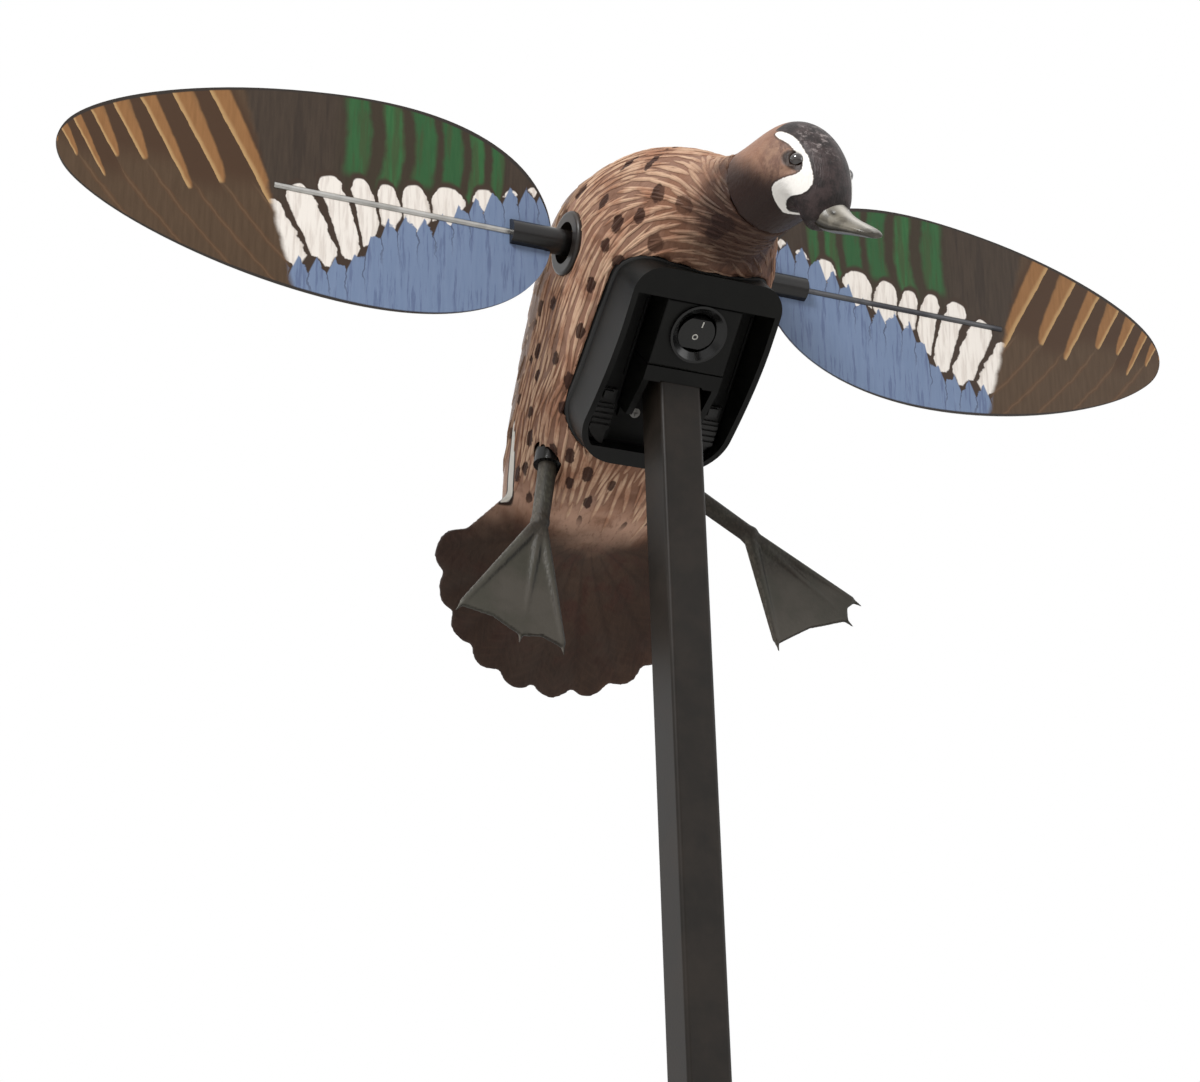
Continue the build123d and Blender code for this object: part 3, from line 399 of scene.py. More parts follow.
def pointsOf(made, what="co"):
    values = np.zeros(len(made.data.vertices) * 3)
    made.data.vertices.foreach_get(what, values)
    return values.reshape(-1, 3)


def normalsOf(made):
    return pointsOf(made, "normal")


def raised(made, height):  # moves each point along its normal, millimetres
    points = pointsOf(made) + normalsOf(made) * height[:, None] / 1000
    made.data.vertices.foreach_set("co", points.ravel())
    made.data.update()


def store(made, name, values):
    layer = made.data.attributes.new(name, "FLOAT", "POINT")
    layer.data.foreach_set("value", values.astype(np.float32))


def finishPiece(made, finish, body, slotName, *replaced):
    made.data.materials.clear()
    made.data.materials.append(finish.material)
    for face in made.data.polygons:
        face.material_index = 0
    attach(made, body)
    if replaced:
        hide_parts(*replaced)


def coat(finish, *names):  # a better finish on a CAD node
    for name in names:
        for slot in nodes[name].material_slots:
            slot.material = finish.material


# how far each point lies inside a rounded outline, below zero outside it
def outlineDistance(across, up, outline, rounds=3):
    line = np.array(outline, float)
    for _ in range(rounds):  # round the corners off
        following = np.roll(line, -1, 0)
        cut = [0.75 * line + 0.25 * following, 0.25 * line + 0.75 * following]
        line = np.stack(cut, 1).reshape(-1, 2)
    spots = np.stack([across, up], 1)
    nearest = np.full(len(spots), 1e9)
    inside = np.zeros(len(spots), bool)
    for start, end in zip(line, np.roll(line, -1, 0)):
        way = end - start
        t = np.clip(((spots - start) @ way) / max(way @ way, 1e-9), 0, 1)
        gap = spots - start - t[:, None] * way
        nearest = np.minimum(nearest, (gap ** 2).sum(1))
        crosses = (start[1] > spots[:, 1]) != (end[1] > spots[:, 1])
        if start[1] != end[1]:
            hit = (end[0] - start[0]) * (spots[:, 1] - start[1]) / (end[1] - start[1]) + start[0]
            inside ^= crosses & (spots[:, 0] < hit)
    return np.sqrt(nearest) * np.where(inside, 1, -1)


# rows of overlapping feathers: how high each lies, and how near its rim a point is
def scales(along, across, length, width):
    best = np.full(len(along), -9.0)
    rim = np.zeros(len(along))
    row = np.floor(along / length)
    for k in (0, 1):
        r = row - k
        offset = np.mod(r, 2) * 0.5
        column = np.floor(across / width + offset)
        side = (across / width + offset - column - 0.5) * 2
        start = r * length
        reach = (along - start) / length
        tip = 1.55 - 0.75 * side ** 2
        covered = reach < tip
        height = np.where(covered, reach / 1.6, -9)
        better = height > best
        best = np.where(better, height, best)
        rim = np.where(better, np.clip((tip - reach) / 0.5, 0, 1), rim)
    return np.clip(best, 0, 1), rim


setCamera()
setStudio()
layFloor()
print("camera, lamps and floor set")


# gap is painted shade between the carved strands, and the strand-top colour is a painted highlight
bodyLook = {"voxel": 0.0016, "featherStep": 0.7, "featherSize": (15, 17), "boxRim": -54.0,
            "tailCentre": 157.0, "fanBack": 12, "lobeTurn": 16.8, "dotCell": (15, 21),
            "tan": (170, 124, 98), "rose": (188, 150, 128), "shade": (116, 80, 60),
            "gap": (88, 56, 41), "crestHighlight": (212, 178, 150), "spot": (46, 21, 12),
            "dark": (40, 21, 15), "tailBrown": (44, 33, 26), "tailRed": (52, 24, 19),
            "tailDark": (20, 13, 11), "tailWarm": (62, 46, 36), "barb": (84, 60, 46),
            "lobePale": (126, 96, 76), "lobeDark": (66, 46, 36), "back": (118, 90, 70),
            "backDark": (88, 62, 48), "featherEdge": (186, 156, 130), "nape": (150, 108, 84),
            "markEdge": (46, 30, 22), "mark": (234, 229, 220)}
strandLook = {"spacing": 0.0043, "length": 0.0105, "width": 0.00115, "height": 0.0009, "seed": 7}
strandVary = {0: (0.55, 0.75, 1.0), 1: (1.5, 1.25, 1.0)}  # least and most of length, width, height
strandsAtMost = 90000.0  # to a square metre
strandClear = {"leg_grommet_": (9, (1, 1, 1)), "hub_cup_": (17, (0, 1, 1))}  # mm kept bare, axes
flankPatch = [(98, 16), (109, 9.5), (120, 5), (129, 1), (136, -3), (139, -7), (134, -7),
              (122, -2.5), (112, 2.5), (103, 9)]


# dark maroon throat paint that fades into the tan of the breast and the nape; where it spreads onto
# the breast below the head it is also painted shadow of the head
def throatPaintAndShadow(f, spot, colour):
    rise = f.along(spot, headRise)
    reach = f.along(spot, headReach)
    wander = f.cloud(spot, 0.08, 3)
    strand = f.cloud(f.turned(spot, size=(0.35, 0.12, 0.12)), 1.0, 3)
    edge = reach + wander * 16 + strand * 14
    share = f.step(edge, -58, -26) * f.step(wander * 12 - rise, 8, 24)
    colour = f.colour(share * 0.9, colour, tone(*bodyLook["dark"]))
    nape = f.step(0 - edge, -2, 16) * (1 - share) * f.step(edge, -70, -40)
    return f.colour(nape * 0.4, colour, tone(*bodyLook["nape"]))


def bodyFinish():
    look = bodyLook
    f = Finish("duckBody", look, rough=0.55, specular=0.22)
    spot = f.level()
    x, v, w = f.parts(spot)
    wander = f.cloud(spot, 0.035, 3)
    patch = f.cloud(spot, 0.055, 4, 0.6)
    streak = f.cloud(f.turned(spot, size=(0.5, 0.05, 0.5)), 1.0, 3, 0.6)
    colour = f.colour(f.step(wander, 0.4, 0.62), "rose", "tan")
    colour = f.colour(f.step(patch, 0.5, 0.68) * 0.6, colour, "shade")
    colour = f.colour(f.step(streak, 0.5, 0.72) * 0.5, colour, "shade")
    # carved feather strands: painted shade between them, and a painted highlight along their tops
    combed = f.attribute("combed")
    strand = f.attribute("crest")
    colour = f.colour(combed * 0.6, colour, "gap")
    lit = f.colour(f.step(patch, 0.4, 0.66), "crestHighlight", "tan")
    colour = f.colour(f.step(strand, 0.1, 0.85) * 0.85, colour, lit)
    # dark spots, longer along the body
    girth = f.maths("ARCTAN2", x, 0 - w - 2) * 52
    wide, long = look["dotCell"]
    around = f.node("CombineXYZ", None, {0: girth / wide, 1: v / long})
    dots = f.cells(around, "2D")
    ragged = dots + (f.cloud(spot, 0.35, 2) - 0.5) * 0.16
    picked = f.step(f.parts(dots.out("Color"))[0], 0.12, 0.16)
    size = f.parts(dots.out("Color"))[1] * 0.09
    spotted = (1 - f.step(ragged - size, 0.11, 0.17)) * picked * f.step(140 - v, 0, 12)
    colour = f.colour(spotted * 0.93, colour, "spot")
    # back feathers
    edge = f.attribute("featherRim")
    upper = f.attribute("backShare")
    plume = f.colour(f.cloud(spot, 0.12, 3), "back", "backDark")
    plume = f.colour((1 - f.step(edge, 0.1, 0.32)) * 0.7, plume, "featherEdge")
    colour = f.colour(upper, colour, plume)
    # tail: the brown deepens towards the lobes
    tail = f.step(v + wander * 26, 138, 168)
    behind = v - look["tailCentre"]
    angle = f.maths("ARCTAN2", x, behind + look["fanBack"]) * (180 / math.pi)
    lobe = fold(angle / look["lobeTurn"] + 0.5)
    reach = f.root(x * x + behind * behind)
    fan = f.colour(f.step(patch, 0.38, 0.62), "tailBrown", "tailWarm")
    fan = f.colour(f.step(f.cloud(spot, 0.05, 3), 0.48, 0.6) * 0.75, fan, "tailRed")
    fan = f.colour(f.step(reach + wander * 24, 30, 80) * 0.7, fan, "tailDark")
    fan = f.colour(f.step(lobe, 0.3, 0.5) * 0.45, fan, "tailDark")
    barb = f.wave(reach * 1.3 + lobe * 26 + wander * 9)
    fan = f.colour(f.step(barb, 0.2, 1.0) * patch * 0.14, fan, "barb")
    tailTop = f.step(w + v * 0.27, 34, 42)
    fanTop = f.colour(f.step(lobe, 0.3, 0.48), "lobePale", "lobeDark")
    fan = f.colour(tailTop * 0.7, fan, fanTop)
    colour = f.colour(tail * 0.94, colour, fan)
    colour = throatPaintAndShadow(f, spot, colour)
    # white flank mark with a dark edge
    mark = f.attribute("flankMark")
    colour = f.colour(f.step(mark, -2.0, -1.0), colour, "markEdge")
    colour = f.colour(f.step(mark, -0.4, 0.1), colour, "mark")
    f.paint(colour)
    f.feed("Roughness", 0.48 + patch * 0.16)
    fine = f.cloud(f.turned(spot, size=(1.4, 0.25, 1.4)), 1.0, 3)
    broad = f.cloud(f.turned(spot, size=(0.28, 0.07, 0.28)), 1.0, 3)
    f.relief(fine * 0.18 + broad * (0.7 - tail * 0.3) - spotted * 0.08, 0.9)
    return f


# the way that the strands are combed: rings round the box's head end, then along the flanks
def combWay(points, ways):
    x, v, w = points.T
    outward = np.stack([x, np.minimum(v - 5, 0), (w - bodyLook["boxRim"]) * 0.64], 1)
    way = np.cross(ways, outward)
    way *= np.where(way[:, 1] < 0, -1, 1)[:, None]
    way /= np.maximum(np.linalg.norm(way, axis=1), 1e-6)[:, None]
    behind = smooth(v, 50, 90)[:, None]
    way = way * (1 - behind) + np.array([0, 1, 0]) * behind
    aside = np.cross(ways, way)
    sway = np.sin(v / 9 + x / 14) + 0.7 * np.sin(v / 5.3 - w / 8 + 1.2)
    sway += 0.5 * np.sin(x / 4.1 + w / 6)
    return way + aside * 0.13 * sway[:, None]


def bodyShape():
    look = bodyLook
    made = remeshed("body_shell", "duckBody", look["voxel"])
    points = toLevel(pointsOf(made))
    ways = normalsOf(made) @ levelTurn.T
    x, v, w = points.T
    outer = np.maximum(np.hypot(x, w + 2), 1)
    shown = smooth((ways[:, 0] * x + ways[:, 2] * (w + 2)) / outer, 0.0, 0.4)
    shown = np.maximum(shown, smooth(-ways[:, 1], 0.3, 0.6) * smooth(-v, 10, 20))
    girth = np.arctan2(x, w + 2) * 55
    back = smooth(w, 8, 22) * smooth(v, -52, -30) * smooth(-v, -150, -128)
    lift, rim = scales(v + 60, girth, *look["featherSize"])
    height = (lift - 0.5) * look["featherStep"] * back * shown
    # shallow lobes on the tail
    angle = np.degrees(np.arctan2(x, v - look["tailCentre"] + look["fanBack"]))
    lobe = fold(angle / look["lobeTurn"] + 0.5)
    tail = smooth(v, 146, 172)
    height += tail * (0.2 - smooth(lobe, 0.28, 0.5) * 0.6)
    raised(made, height)
    store(made, "featherRim", rim)
    store(made, "backShare", back * shown)
    mark = outlineDistance(v, w, flankPatch)
    store(made, "flankMark", np.where(np.abs(x) > 30, mark, -9))
    side = smooth(-w, -30, 0) * smooth(-v, -136, -112)
    for word in ("left", "right"):  # no strands over the leg holes and the hub cups
        for piece, (clear, weight) in strandClear.items():
            low, high = (toLevel(np.array([corner]))[0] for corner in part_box(piece + word))
            middle = (low + high) / 2
            gap = np.linalg.norm((points - middle) * weight, axis=1)
            side *= np.where(points[:, 0] * middle[0] > 0, smooth(gap, clear, clear + 2), 1)
    store(made, "combed", side * shown * smooth(-mark, 0, 3))
    comb = made.data.attributes.new("comb", "FLOAT_VECTOR", "POINT")
    comb.data.foreach_set("vector", (combWay(points, ways) @ levelTurn).ravel())
    return made


# slim strands scattered over the combed skin, bent to lie along it
def growStrands(skin, finish):
    r = Recipe("featherStrands", strandLook)
    base = r.start.out("Mesh")
    combed = r.stored("combed")
    spots = r.node("GeometryNodeDistributePointsOnFaces", {"distribute_method": "POISSON"},
                   {"Mesh": base, "Distance Min": r.size("spacing"),
                    "Density Max": strandsAtMost, "Density Factor": combed,
                    "Seed": r.size("seed")})
    turn = r.node("FunctionNodeAlignRotationToVector", {"axis": "X", "pivot_axis": "Z"},
                  {"Rotation": spots.out("Rotation"),
                   "Vector": r.stored("comb", "FLOAT_VECTOR")})
    ball = r.node("GeometryNodeMeshUVSphere", None, {"Segments": 6, "Rings": 6, "Radius": 1.0})
    grown = r.node("CombineXYZ", None,
                   {0: r.size("height"), 1: r.size("width"), 2: r.size("length")})
    slim = r.node("GeometryNodeTransform", None,
                  {"Geometry": ball, "Rotation": (0, math.pi / 2, 0), "Scale": grown})
    place = r.node("SeparateXYZ", None, {0: r.node("GeometryNodeInputPosition")})
    crest = place.out(2) / r.size("height")
    slim = r.node("GeometryNodeStoreNamedAttribute",
                  {"data_type": "FLOAT", "domain": "POINT"},
                  {"Geometry": slim, "Name": "crest", "Value": crest})
    varied = r.node("FunctionNodeRandomValue", {"data_type": "FLOAT_VECTOR"},
                    {**strandVary, "Seed": r.size("seed")})
    laid = r.node("GeometryNodeInstanceOnPoints", None,
                  {"Points": spots, "Instance": slim, "Rotation": turn, "Scale": varied})
    loose = r.node("GeometryNodeRealizeInstances", None, {"Geometry": laid})
    near = r.node("GeometryNodeProximity", {"target_element": "FACES"}, {0: base})
    normal = r.node("GeometryNodeSampleNearestSurface", {"data_type": "FLOAT_VECTOR"},
                    {"Mesh": base, "Value": r.node("GeometryNodeInputNormal")})
    rise = (r.stored("crest") - 0.15) * r.size("height")
    lifted = r.node("VectorMath", {"operation": "SCALE"}, {0: normal, "Scale": rise})
    bent = r.node("VectorMath", {"operation": "ADD"}, {0: near, 1: lifted})
    result = r.node("GeometryNodeSetPosition", None, {"Geometry": loose, "Position": bent})
    made = bpy.data.objects.new("bodyStrands", skin.data.copy())
    scene.collection.objects.link(made)
    return r.grow(result, finish, made)


def makeBody():
    skin = bodyShape()
    finish = bodyFinish()
    strands = growStrands(skin, finish)
    finishPiece(skin, finish, "decoy", "body_brown", "body_shell")
    finishPiece(strands, finish, "decoy", "body_brown")
    print("body", len(skin.data.polygons), "strands", len(strands.data.polygons))


makeBody()


# the crown's pale sheen colour is a painted highlight
headLook = {"voxel": 0.0009, "farShift": 5.0, "crown": (58, 46, 45), "crownDark": (30, 22, 21),
            "paintedSheen": (172, 160, 157), "cheek": (120, 90, 77), "cheekLight": (150, 118, 98),
            "cheekDark": (84, 58, 51), "neck": (146, 106, 83), "dark": (34, 18, 13),
            "white": (242, 238, 232), "whiteEdge": (28, 20, 18), "eyeDark": (26, 17, 14)}
eyeLook = {"rise": 3.3, "reach": -3.4, "iris": (34, 18, 11), "irisDark": (22, 12, 8),
           "pupil": (6, 5, 5)}
crescent = [(8.8, -23), (11.2, -21.3), (12.2, -14), (11.8, -8.5), (9.9, -2.7), (7.3, 3.1),
            (3.6, 7.8), (-0.6, 11.9), (-3.8, 12.8), (-6.6, 12.3), (-9, 10.6), (-12.0, 4.5),
            (-13.6, 0.7), (-16.6, -3.2), (-21.3, -6.0), (-23.6, -8.0), (-20.2, -7.6),
            (-16.9, -8.2), (-13.5, -8.4), (-10.7, -7.4), (-8.2, -4.4), (-5.7, -0.8), (-2.6, 3.4),
            (-1.0, 4.7), (1.0, 5.2), (3.3, 4.2), (5.6, 0.2), (6.6, -2.6), (8.2, -7.5),
            (8.6, -11.2), (8.3, -17.5)]
# the dark cap ends along the crescent's front edge
crownCap = [(9.5, -26), *crescent[1:11], (-13.0, 0.7), *crescent[13:15], (-26, -8), (-40, 0),
            (-40, 40), (40, 40), (40, -30)]


def headFinish():
    look = headLook
    f = Finish("duckHead", look, rough=0.45, specular=0.3)
    spot = f.level()
    rise = f.along(spot, headRise)
    reach = f.along(spot, headReach)
    side = f.along(spot, headSide)
    mottle = f.cloud(spot, 0.16, 4, 0.65)
    stroke = f.cloud(f.turned(spot, (0.5, 0.3, 0), size=(0.55, 0.14, 0.14)), 1.0, 3, 0.6)
    cheek = f.colour(f.step(mottle, 0.35, 0.65), "cheek", "cheekLight")
    cheek = f.colour(f.step(stroke, 0.48, 0.62) * 0.65, cheek, "cheekDark")
    cheek = f.colour(f.step(stroke * 14 - reach, 20, 40) * 0.75, cheek, "neck")
    cheek = throatPaintAndShadow(f, spot, cheek)
    lower = f.step(f.cloud(spot, 0.1, 3) * 9 - rise, 9, 20) * f.step(reach, -60, -30)
    cheek = f.colour(lower * 0.8, cheek, "dark")
    crown = f.colour(f.step(mottle, 0.4, 0.62), "crown", "crownDark")
    # painted highlight: a pale streaky sheen on one upper side of the crown
    paintedSheen = f.cloud(f.turned(spot, (0, 0, 0.6), size=(0.2, 0.4, 0.2)), 1.0, 4, 0.75)
    paintedSheen = f.step(paintedSheen, 0.5, 0.66)
    gap = (rise - 15) * (rise - 15) + (reach + 5) * (reach + 5) * 0.6 + (side + 5) * (side + 5)
    patch = f.step(14 - f.root(gap), 0, 9)
    crown = f.colour(paintedSheen * patch * 0.7, crown, "paintedSheen")
    colour = f.colour(f.step(f.attribute("crownCap"), -0.35, 0.35), cheek, crown)
    eyeDark = f.step(f.attribute("eyeDark"), -0.9, 0.9)
    colour = f.colour(eyeDark * 0.9, colour, "eyeDark")
    line = f.attribute("crescent")
    ragged = line + (f.cloud(spot, 0.9, 2) - 0.5) * 0.7
    colour = f.colour(f.step(ragged, -1.1, -0.35) * 0.6, colour, "whiteEdge")
    colour = f.colour(f.step(ragged, -0.15, 0.2), colour, "white")
    f.paint(colour)
    f.feed("Roughness", 0.42 + mottle * 0.12)
    fine = f.cloud(f.turned(spot, (0.5, 0.3, 0), size=(2.4, 0.5, 0.5)), 1.0, 2)
    f.relief(fine * 0.2 + stroke * 0.5 + mottle * 0.15, 0.9)
    return f


def headPlace(made):  # millimetres off the middle plane, towards the crown, and along the bill
    points = toLevel(pointsOf(made)) - headMiddle
    return points @ headSide, points @ headRise, points @ headReach


def makeHead():
    made = remeshed("head", "duckHead", headLook["voxel"])
    side, rise, reach = headPlace(made)
    shifted = reach - headLook["farShift"] * smooth(side, -6, 4)
    # a lid round each eye and a hollow in front of it
    eyeGap = np.hypot(rise - eyeLook["rise"], reach - eyeLook["reach"])
    lid = np.exp(-((eyeGap - 4.2) / 0.8) ** 2) * smooth(np.abs(side - 0.5), 12, 15)
    hollow = np.exp(-((eyeGap - 6.4) / 1.5) ** 2) * smooth(np.abs(side - 0.5), 10, 13)
    raised(made, 0.55 * lid - 0.3 * hollow)
    store(made, "crescent", outlineDistance(rise, shifted, crescent))
    store(made, "crownCap", outlineDistance(rise, shifted, crownCap, 1))
    store(made, "eyeDark", 5.0 - np.hypot((rise - 3.6) * 1.2, (reach - 0.2) * 0.66))
    finishPiece(made, headFinish(), "decoy", "head_maroon", "head")
    print("head", len(made.data.polygons))


# the ridge colour is a painted highlight along the bill's top, and the low colour is painted shade
# on the part below the mouth line
billLook = {"voxel": 0.0005, "horn": (82, 77, 67), "hornLight": (118, 112, 100),
            "ridgeHighlight": (206, 200, 190), "low": (26, 21, 12), "nail": (58, 53, 46),
            "nostril": (14, 12, 10), "sections": 41, "sectionStep": 1.5, "root": 15, "length": 33}


def billFinish():
    look = billLook
    f = Finish("duckBill", look, rough=0.3, specular=0.5)
    spot = f.level()
    reach = f.along(spot, headReach)
    cloudy = f.cloud(spot, 0.14, 3)
    horn = f.colour(f.step(cloudy, 0.38, 0.62), "horn", "hornLight")
    # painted highlight along the top ridge, and painted shade on the lower part of the bill
    horn = f.colour(f.attribute("ridgeHighlight") * 0.8, horn, "ridgeHighlight")
    horn = f.colour(f.attribute("low") * 0.85, horn, "low")
    horn = f.colour(f.attribute("nostril") * 0.9, horn, "nostril")
    horn = f.colour(f.step(reach, 44.5, 46.5) * 0.6, horn, "nail")
    f.paint(horn)
    f.feed("Roughness", 0.26 + cloudy * 0.16)
    grain = f.cloud(f.turned(spot, size=(1.2, 1.2, 0.25)), 1.0, 3)
    f.relief(grain * 0.1, 0.7)
    return f


def makeBill():
    look, count = billLook, billLook["sections"]
    made = remeshed("bill", "duckBill", look["voxel"])
    side, rise, reach = headPlace(made)
    share = np.clip((reach - look["root"]) / look["length"], 0, 1)
    # middle line, top and half width of the bill at each section along it
    section = np.clip(((reach - reach.min()) / look["sectionStep"]).astype(int), 0, count - 1)
    top, low, middle, half = np.zeros(count), np.zeros(count), np.zeros(count), np.ones(count)
    for k in np.unique(section):
        here = section == k
        top[k], low[k] = rise[here].max(), rise[here].min()
        middle[k] = (side[here].max() + side[here].min()) / 2
        half[k] = max((side[here].max() - side[here].min()) / 2, 1)
    up = (rise - low[section]) / np.maximum(top[section] - low[section], 1)
    across = (side - middle[section]) / half[section]
    mouth = np.exp(-((up - 0.34) / 0.05) ** 2) * smooth(np.abs(across), 0.5, 0.8)
    mouth *= smooth(share, 0.04, 0.12)
    nostril = np.exp(-(((reach - 24) / 2.2) ** 2 + ((up - 0.78) / 0.07) ** 2))
    nostril *= smooth(np.abs(across), 0.3, 0.5)
    nail = smooth(share, 0.88, 0.93) * smooth(-np.abs(across), -0.55, -0.4) * smooth(up, 0.5, 0.7)
    hump = np.exp(-(across / 0.3) ** 2) * smooth(up, 0.6, 0.9) * smooth(-share, -0.6, -0.2)
    raised(made, 0.35 * hump + 0.2 * nail - 0.45 * mouth - 0.6 * nostril)
    # painted highlight along the top ridge; the low share below the mouth line is painted shade
    ridgeHighlight = np.exp(-((across + 0.15) / 0.34) ** 2) * smooth(up, 0.72, 0.98) * smooth(share, 0, 0.1)
    store(made, "ridgeHighlight", ridgeHighlight)
    store(made, "low", smooth(-up, -0.36, -0.2))
    store(made, "nostril", nostril)
    finishPiece(made, billFinish(), "decoy", "bill_horn", "bill")
    print("bill", len(made.data.polygons))


def eyeFinish():
    f = Finish("glassEye", eyeLook, rough=0.06, specular=0.6, coat=1.0, coatRough=0.03)
    spot = f.level()
    rise = f.along(spot, headRise) - eyeLook["rise"]
    reach = f.along(spot, headReach) - eyeLook["reach"]
    gap = f.root(rise * rise + reach * reach)
    iris = f.colour(f.cloud(spot, 1.2, 3), "iris", "irisDark")
    f.paint(f.colour(f.step(gap, 2.0, 2.5), "pupil", iris))
    return f


makeHead()
makeBill()
coat(eyeFinish(), "eyes")


wingLook = {"root": 59.7, "tip": 305.0, "rounding": 2.1, "top": (53.75, 0.274),
            "bottom": (52.35, 0.243), "feather": 15.5, "smallFeather": 9.4, "rayLean": 0.6,
            "rayStart": 210, "rayWidth": 22, "rayChange": -2.4, "barStart": 92, "barWidth": 10,
            "barChange": 1.8, "shaft": 17, "blue": (106, 124, 154), "blueLight": (122, 138, 166),
            "blueDark": (88, 100, 132), "blueCrack": (64, 68, 88), "white": (236, 229, 221),
            "whiteGrain": (204, 193, 184), "whiteSide": (182, 170, 158),
            "whiteEdge": (60, 47, 38), "dark": (50, 41, 34), "darkLight": (72, 60, 50),
            "darkStreak": (44, 36, 31), "green": (37, 84, 47), "greenLight": (62, 104, 62),
            "greenDeep": (34, 70, 42), "greenDull": (62, 66, 42), "greenFoot": (64, 70, 48),
            "gap": (54, 46, 34), "brown": (68, 52, 37), "brownLight": (90, 71, 54),
            "shaftPale": (126, 104, 80), "shaftSide": (98, 66, 42), "ray": (124, 86, 52),
            "rayMid": (152, 110, 70), "rayLight": (178, 144, 100), "rayShade": (112, 84, 56),
            "rayGap": (70, 50, 35), "rim": (48, 42, 38), "backTone": (226, 224, 219),
            "backScuff": (206, 203, 196)}
featherTops = [(60, 25), (90, 20), (108, 17), (126, 15), (144, 11), (160, 10), (183, 4), (200, -7)]
featherFeet = [(60, 25), (90, 17), (97, 13), (108, 6), (123, -5), (140, -7), (151, -16), (160, -31),
               (176, -36), (200, -40)]
rayEnds = [(200, 45), (225, 44), (250, 39), (275, 31), (290, 22), (300, 14), (305, 8)]


# outer part of the print: slanting rays below the leading edge, over brown
def wingRays(f, look, a, h, jitter, grain):
    slant = a - h * look["rayLean"] + jitter * 0.25
    count = f.bands(slant - look["rayStart"], look["rayWidth"], look["rayChange"])
    which = f.lot(whole(count))
    part = count % 1
    level = f.curve(a, rayEnds, 0, 60)
    foot = which * 14 - 13
    share = f.smaller(f.larger((h - foot) / (level - foot), 0.001), 1)
    wide = (share ** 0.38) * (0.48 + which * 0.2)
    ray = f.step(part + wide, 0.96, 1.05) * f.step(slant, 192, 198) * f.step(h - foot, -0.5, 1.5)
    brown = f.colour(grain, "brown", "brownLight")
    shafts = fold((a - h * 0.75 + h * h * 0.004) / look["shaft"] + jitter * 0.03)
    faint = (1 - f.step(shafts, 0.01, 0.06)) * f.step(0 - h, -4, 10)
    brown = f.colour(faint * 0.3, brown, "shaftPale")
    flank = (1 - f.step(shafts - 0.08, -0.02, 0.05)) * f.step(0 - h, 0, 14)
    brown = f.colour(flank * 0.3, brown, "shaftSide")
    brown = f.colour(f.step(h - foot, -4, 10) * f.step(slant, 192, 200), brown, "rayGap")
    rayColour = f.colour(grain, "ray", "rayMid")
    rayColour = f.colour(f.step(part, 0.84, 0.97) * 0.9, rayColour, "rayLight")
    rayColour = f.colour(f.step(0 - part, -0.6, -0.40) * 0.5, rayColour, "rayShade")
    return f.colour(ray, brown, rayColour)


# inner part: green bars above a row of white feather tips, over blue
def wingFeathers(f, look, a, h, jitter, grain, flat):
    dark = f.colour(grain, "dark", "darkLight")
    streak = f.cloud(f.turned(flat, size=(0.16, 0.02, 1), shift=(3, 9, 0)), 1.0, 3, 0.6, "2D")
    dark = f.colour(f.step(streak, 0.5, 0.7) * 0.5, dark, "darkStreak")
    bow = (h - 24) * (h - 24) * 0.006
    bars = f.bands(a - bow + h * 0.14 - look["barStart"], look["barWidth"], look["barChange"])
    bars = bars + jitter * 0.03 + 0.5
    luck = f.lot(whole(bars))
    bar = fold(bars) - (luck - 0.5) * 0.1
    green = f.colour(grain, "green", "greenLight")
    green = f.colour(luck * 0.5, green, "greenDeep")
    green = f.colour(f.step(streak, 0.46, 0.66) * 0.6, green, "greenDull")
    green = f.colour(f.step(20 - h, 0, 16) * 0.5, green, "greenFoot")
    foot = 7 + luck * 6
    barShare = (1 - f.step(bar, 0.22, 0.42)) * f.step(a, 82, 87) * (1 - f.step(a, 164, 172))
    barShare = barShare * f.step(h - foot, 0, 6)
    between = f.step(a, 82, 88) * (1 - f.step(a, 164, 176))
    upper = f.colour(between * 0.8, dark, "gap")
    upper = f.colour(barShare, upper, green)
    tops = f.curve(a, featherTops, -50, 50)
    feet = f.curve(a, featherFeet, -50, 50)
    lean = 0.08 + f.step(a, 110, 190) * 0.34
    across = (a - h * lean - 190 + jitter * 0.6) / look["feather"] + f.wave(a * 0.085) * 0.2
    chance = f.lot(whole(across + 0.5) + 0.25)
    cell = fold(across + 0.5) * 2
    small = fold((a - h * 0.1 + jitter * 0.8) / look["smallFeather"]) * 2
    share = f.smaller(f.larger((h - feet) / f.larger(tops - feet, 4), 0), 1)
    crest = tops + 1 + chance * 4 - cell * cell * cell * 12
    hem = feet - 6 + chance * 6 + cell * 8 + jitter * 1.3
    trim = 0.99 - chance * 0.16 - share * 0.16 + jitter * 0.02 - cell
    notch = f.step(trim, -0.03, 0.05)
    white = f.step(crest - h, 0, 1.0) * f.step(h - hem, 0, 1.4) * notch
    inner = f.colour(f.step(crest + 4 - h, 0, 3), upper, "whiteEdge")
    whiteColour = f.colour(f.step(grain, 0.42, 0.7) * 0.6, "white", "whiteGrain")
    whiteColour = f.colour(f.step(cell, 0.6, 0.95) * 0.35, whiteColour, "whiteSide")
    inner = f.colour(white, inner, whiteColour)
    blueTop = feet - 4 + (1 - small) * 8 + jitter * 1.6
    blue = f.colour(grain, "blue", "blueLight")
    veins = f.cloud(f.turned(flat, size=(0.36, 0.03, 1), shift=(7, 3, 0)), 1.0, 4, 0.65, "2D")
    blue = f.colour(f.step(veins, 0.52, 0.68) * 0.7, blue, "blueDark")
    crack = f.step(0.1 - (1 - small), -0.02, 0.06) * f.step(h - feet, -26, -4)
    blue = f.colour(crack * 0.7, blue, "blueCrack")
    return f.colour(f.step(blueTop - h, 0, 1.6), inner, blue)


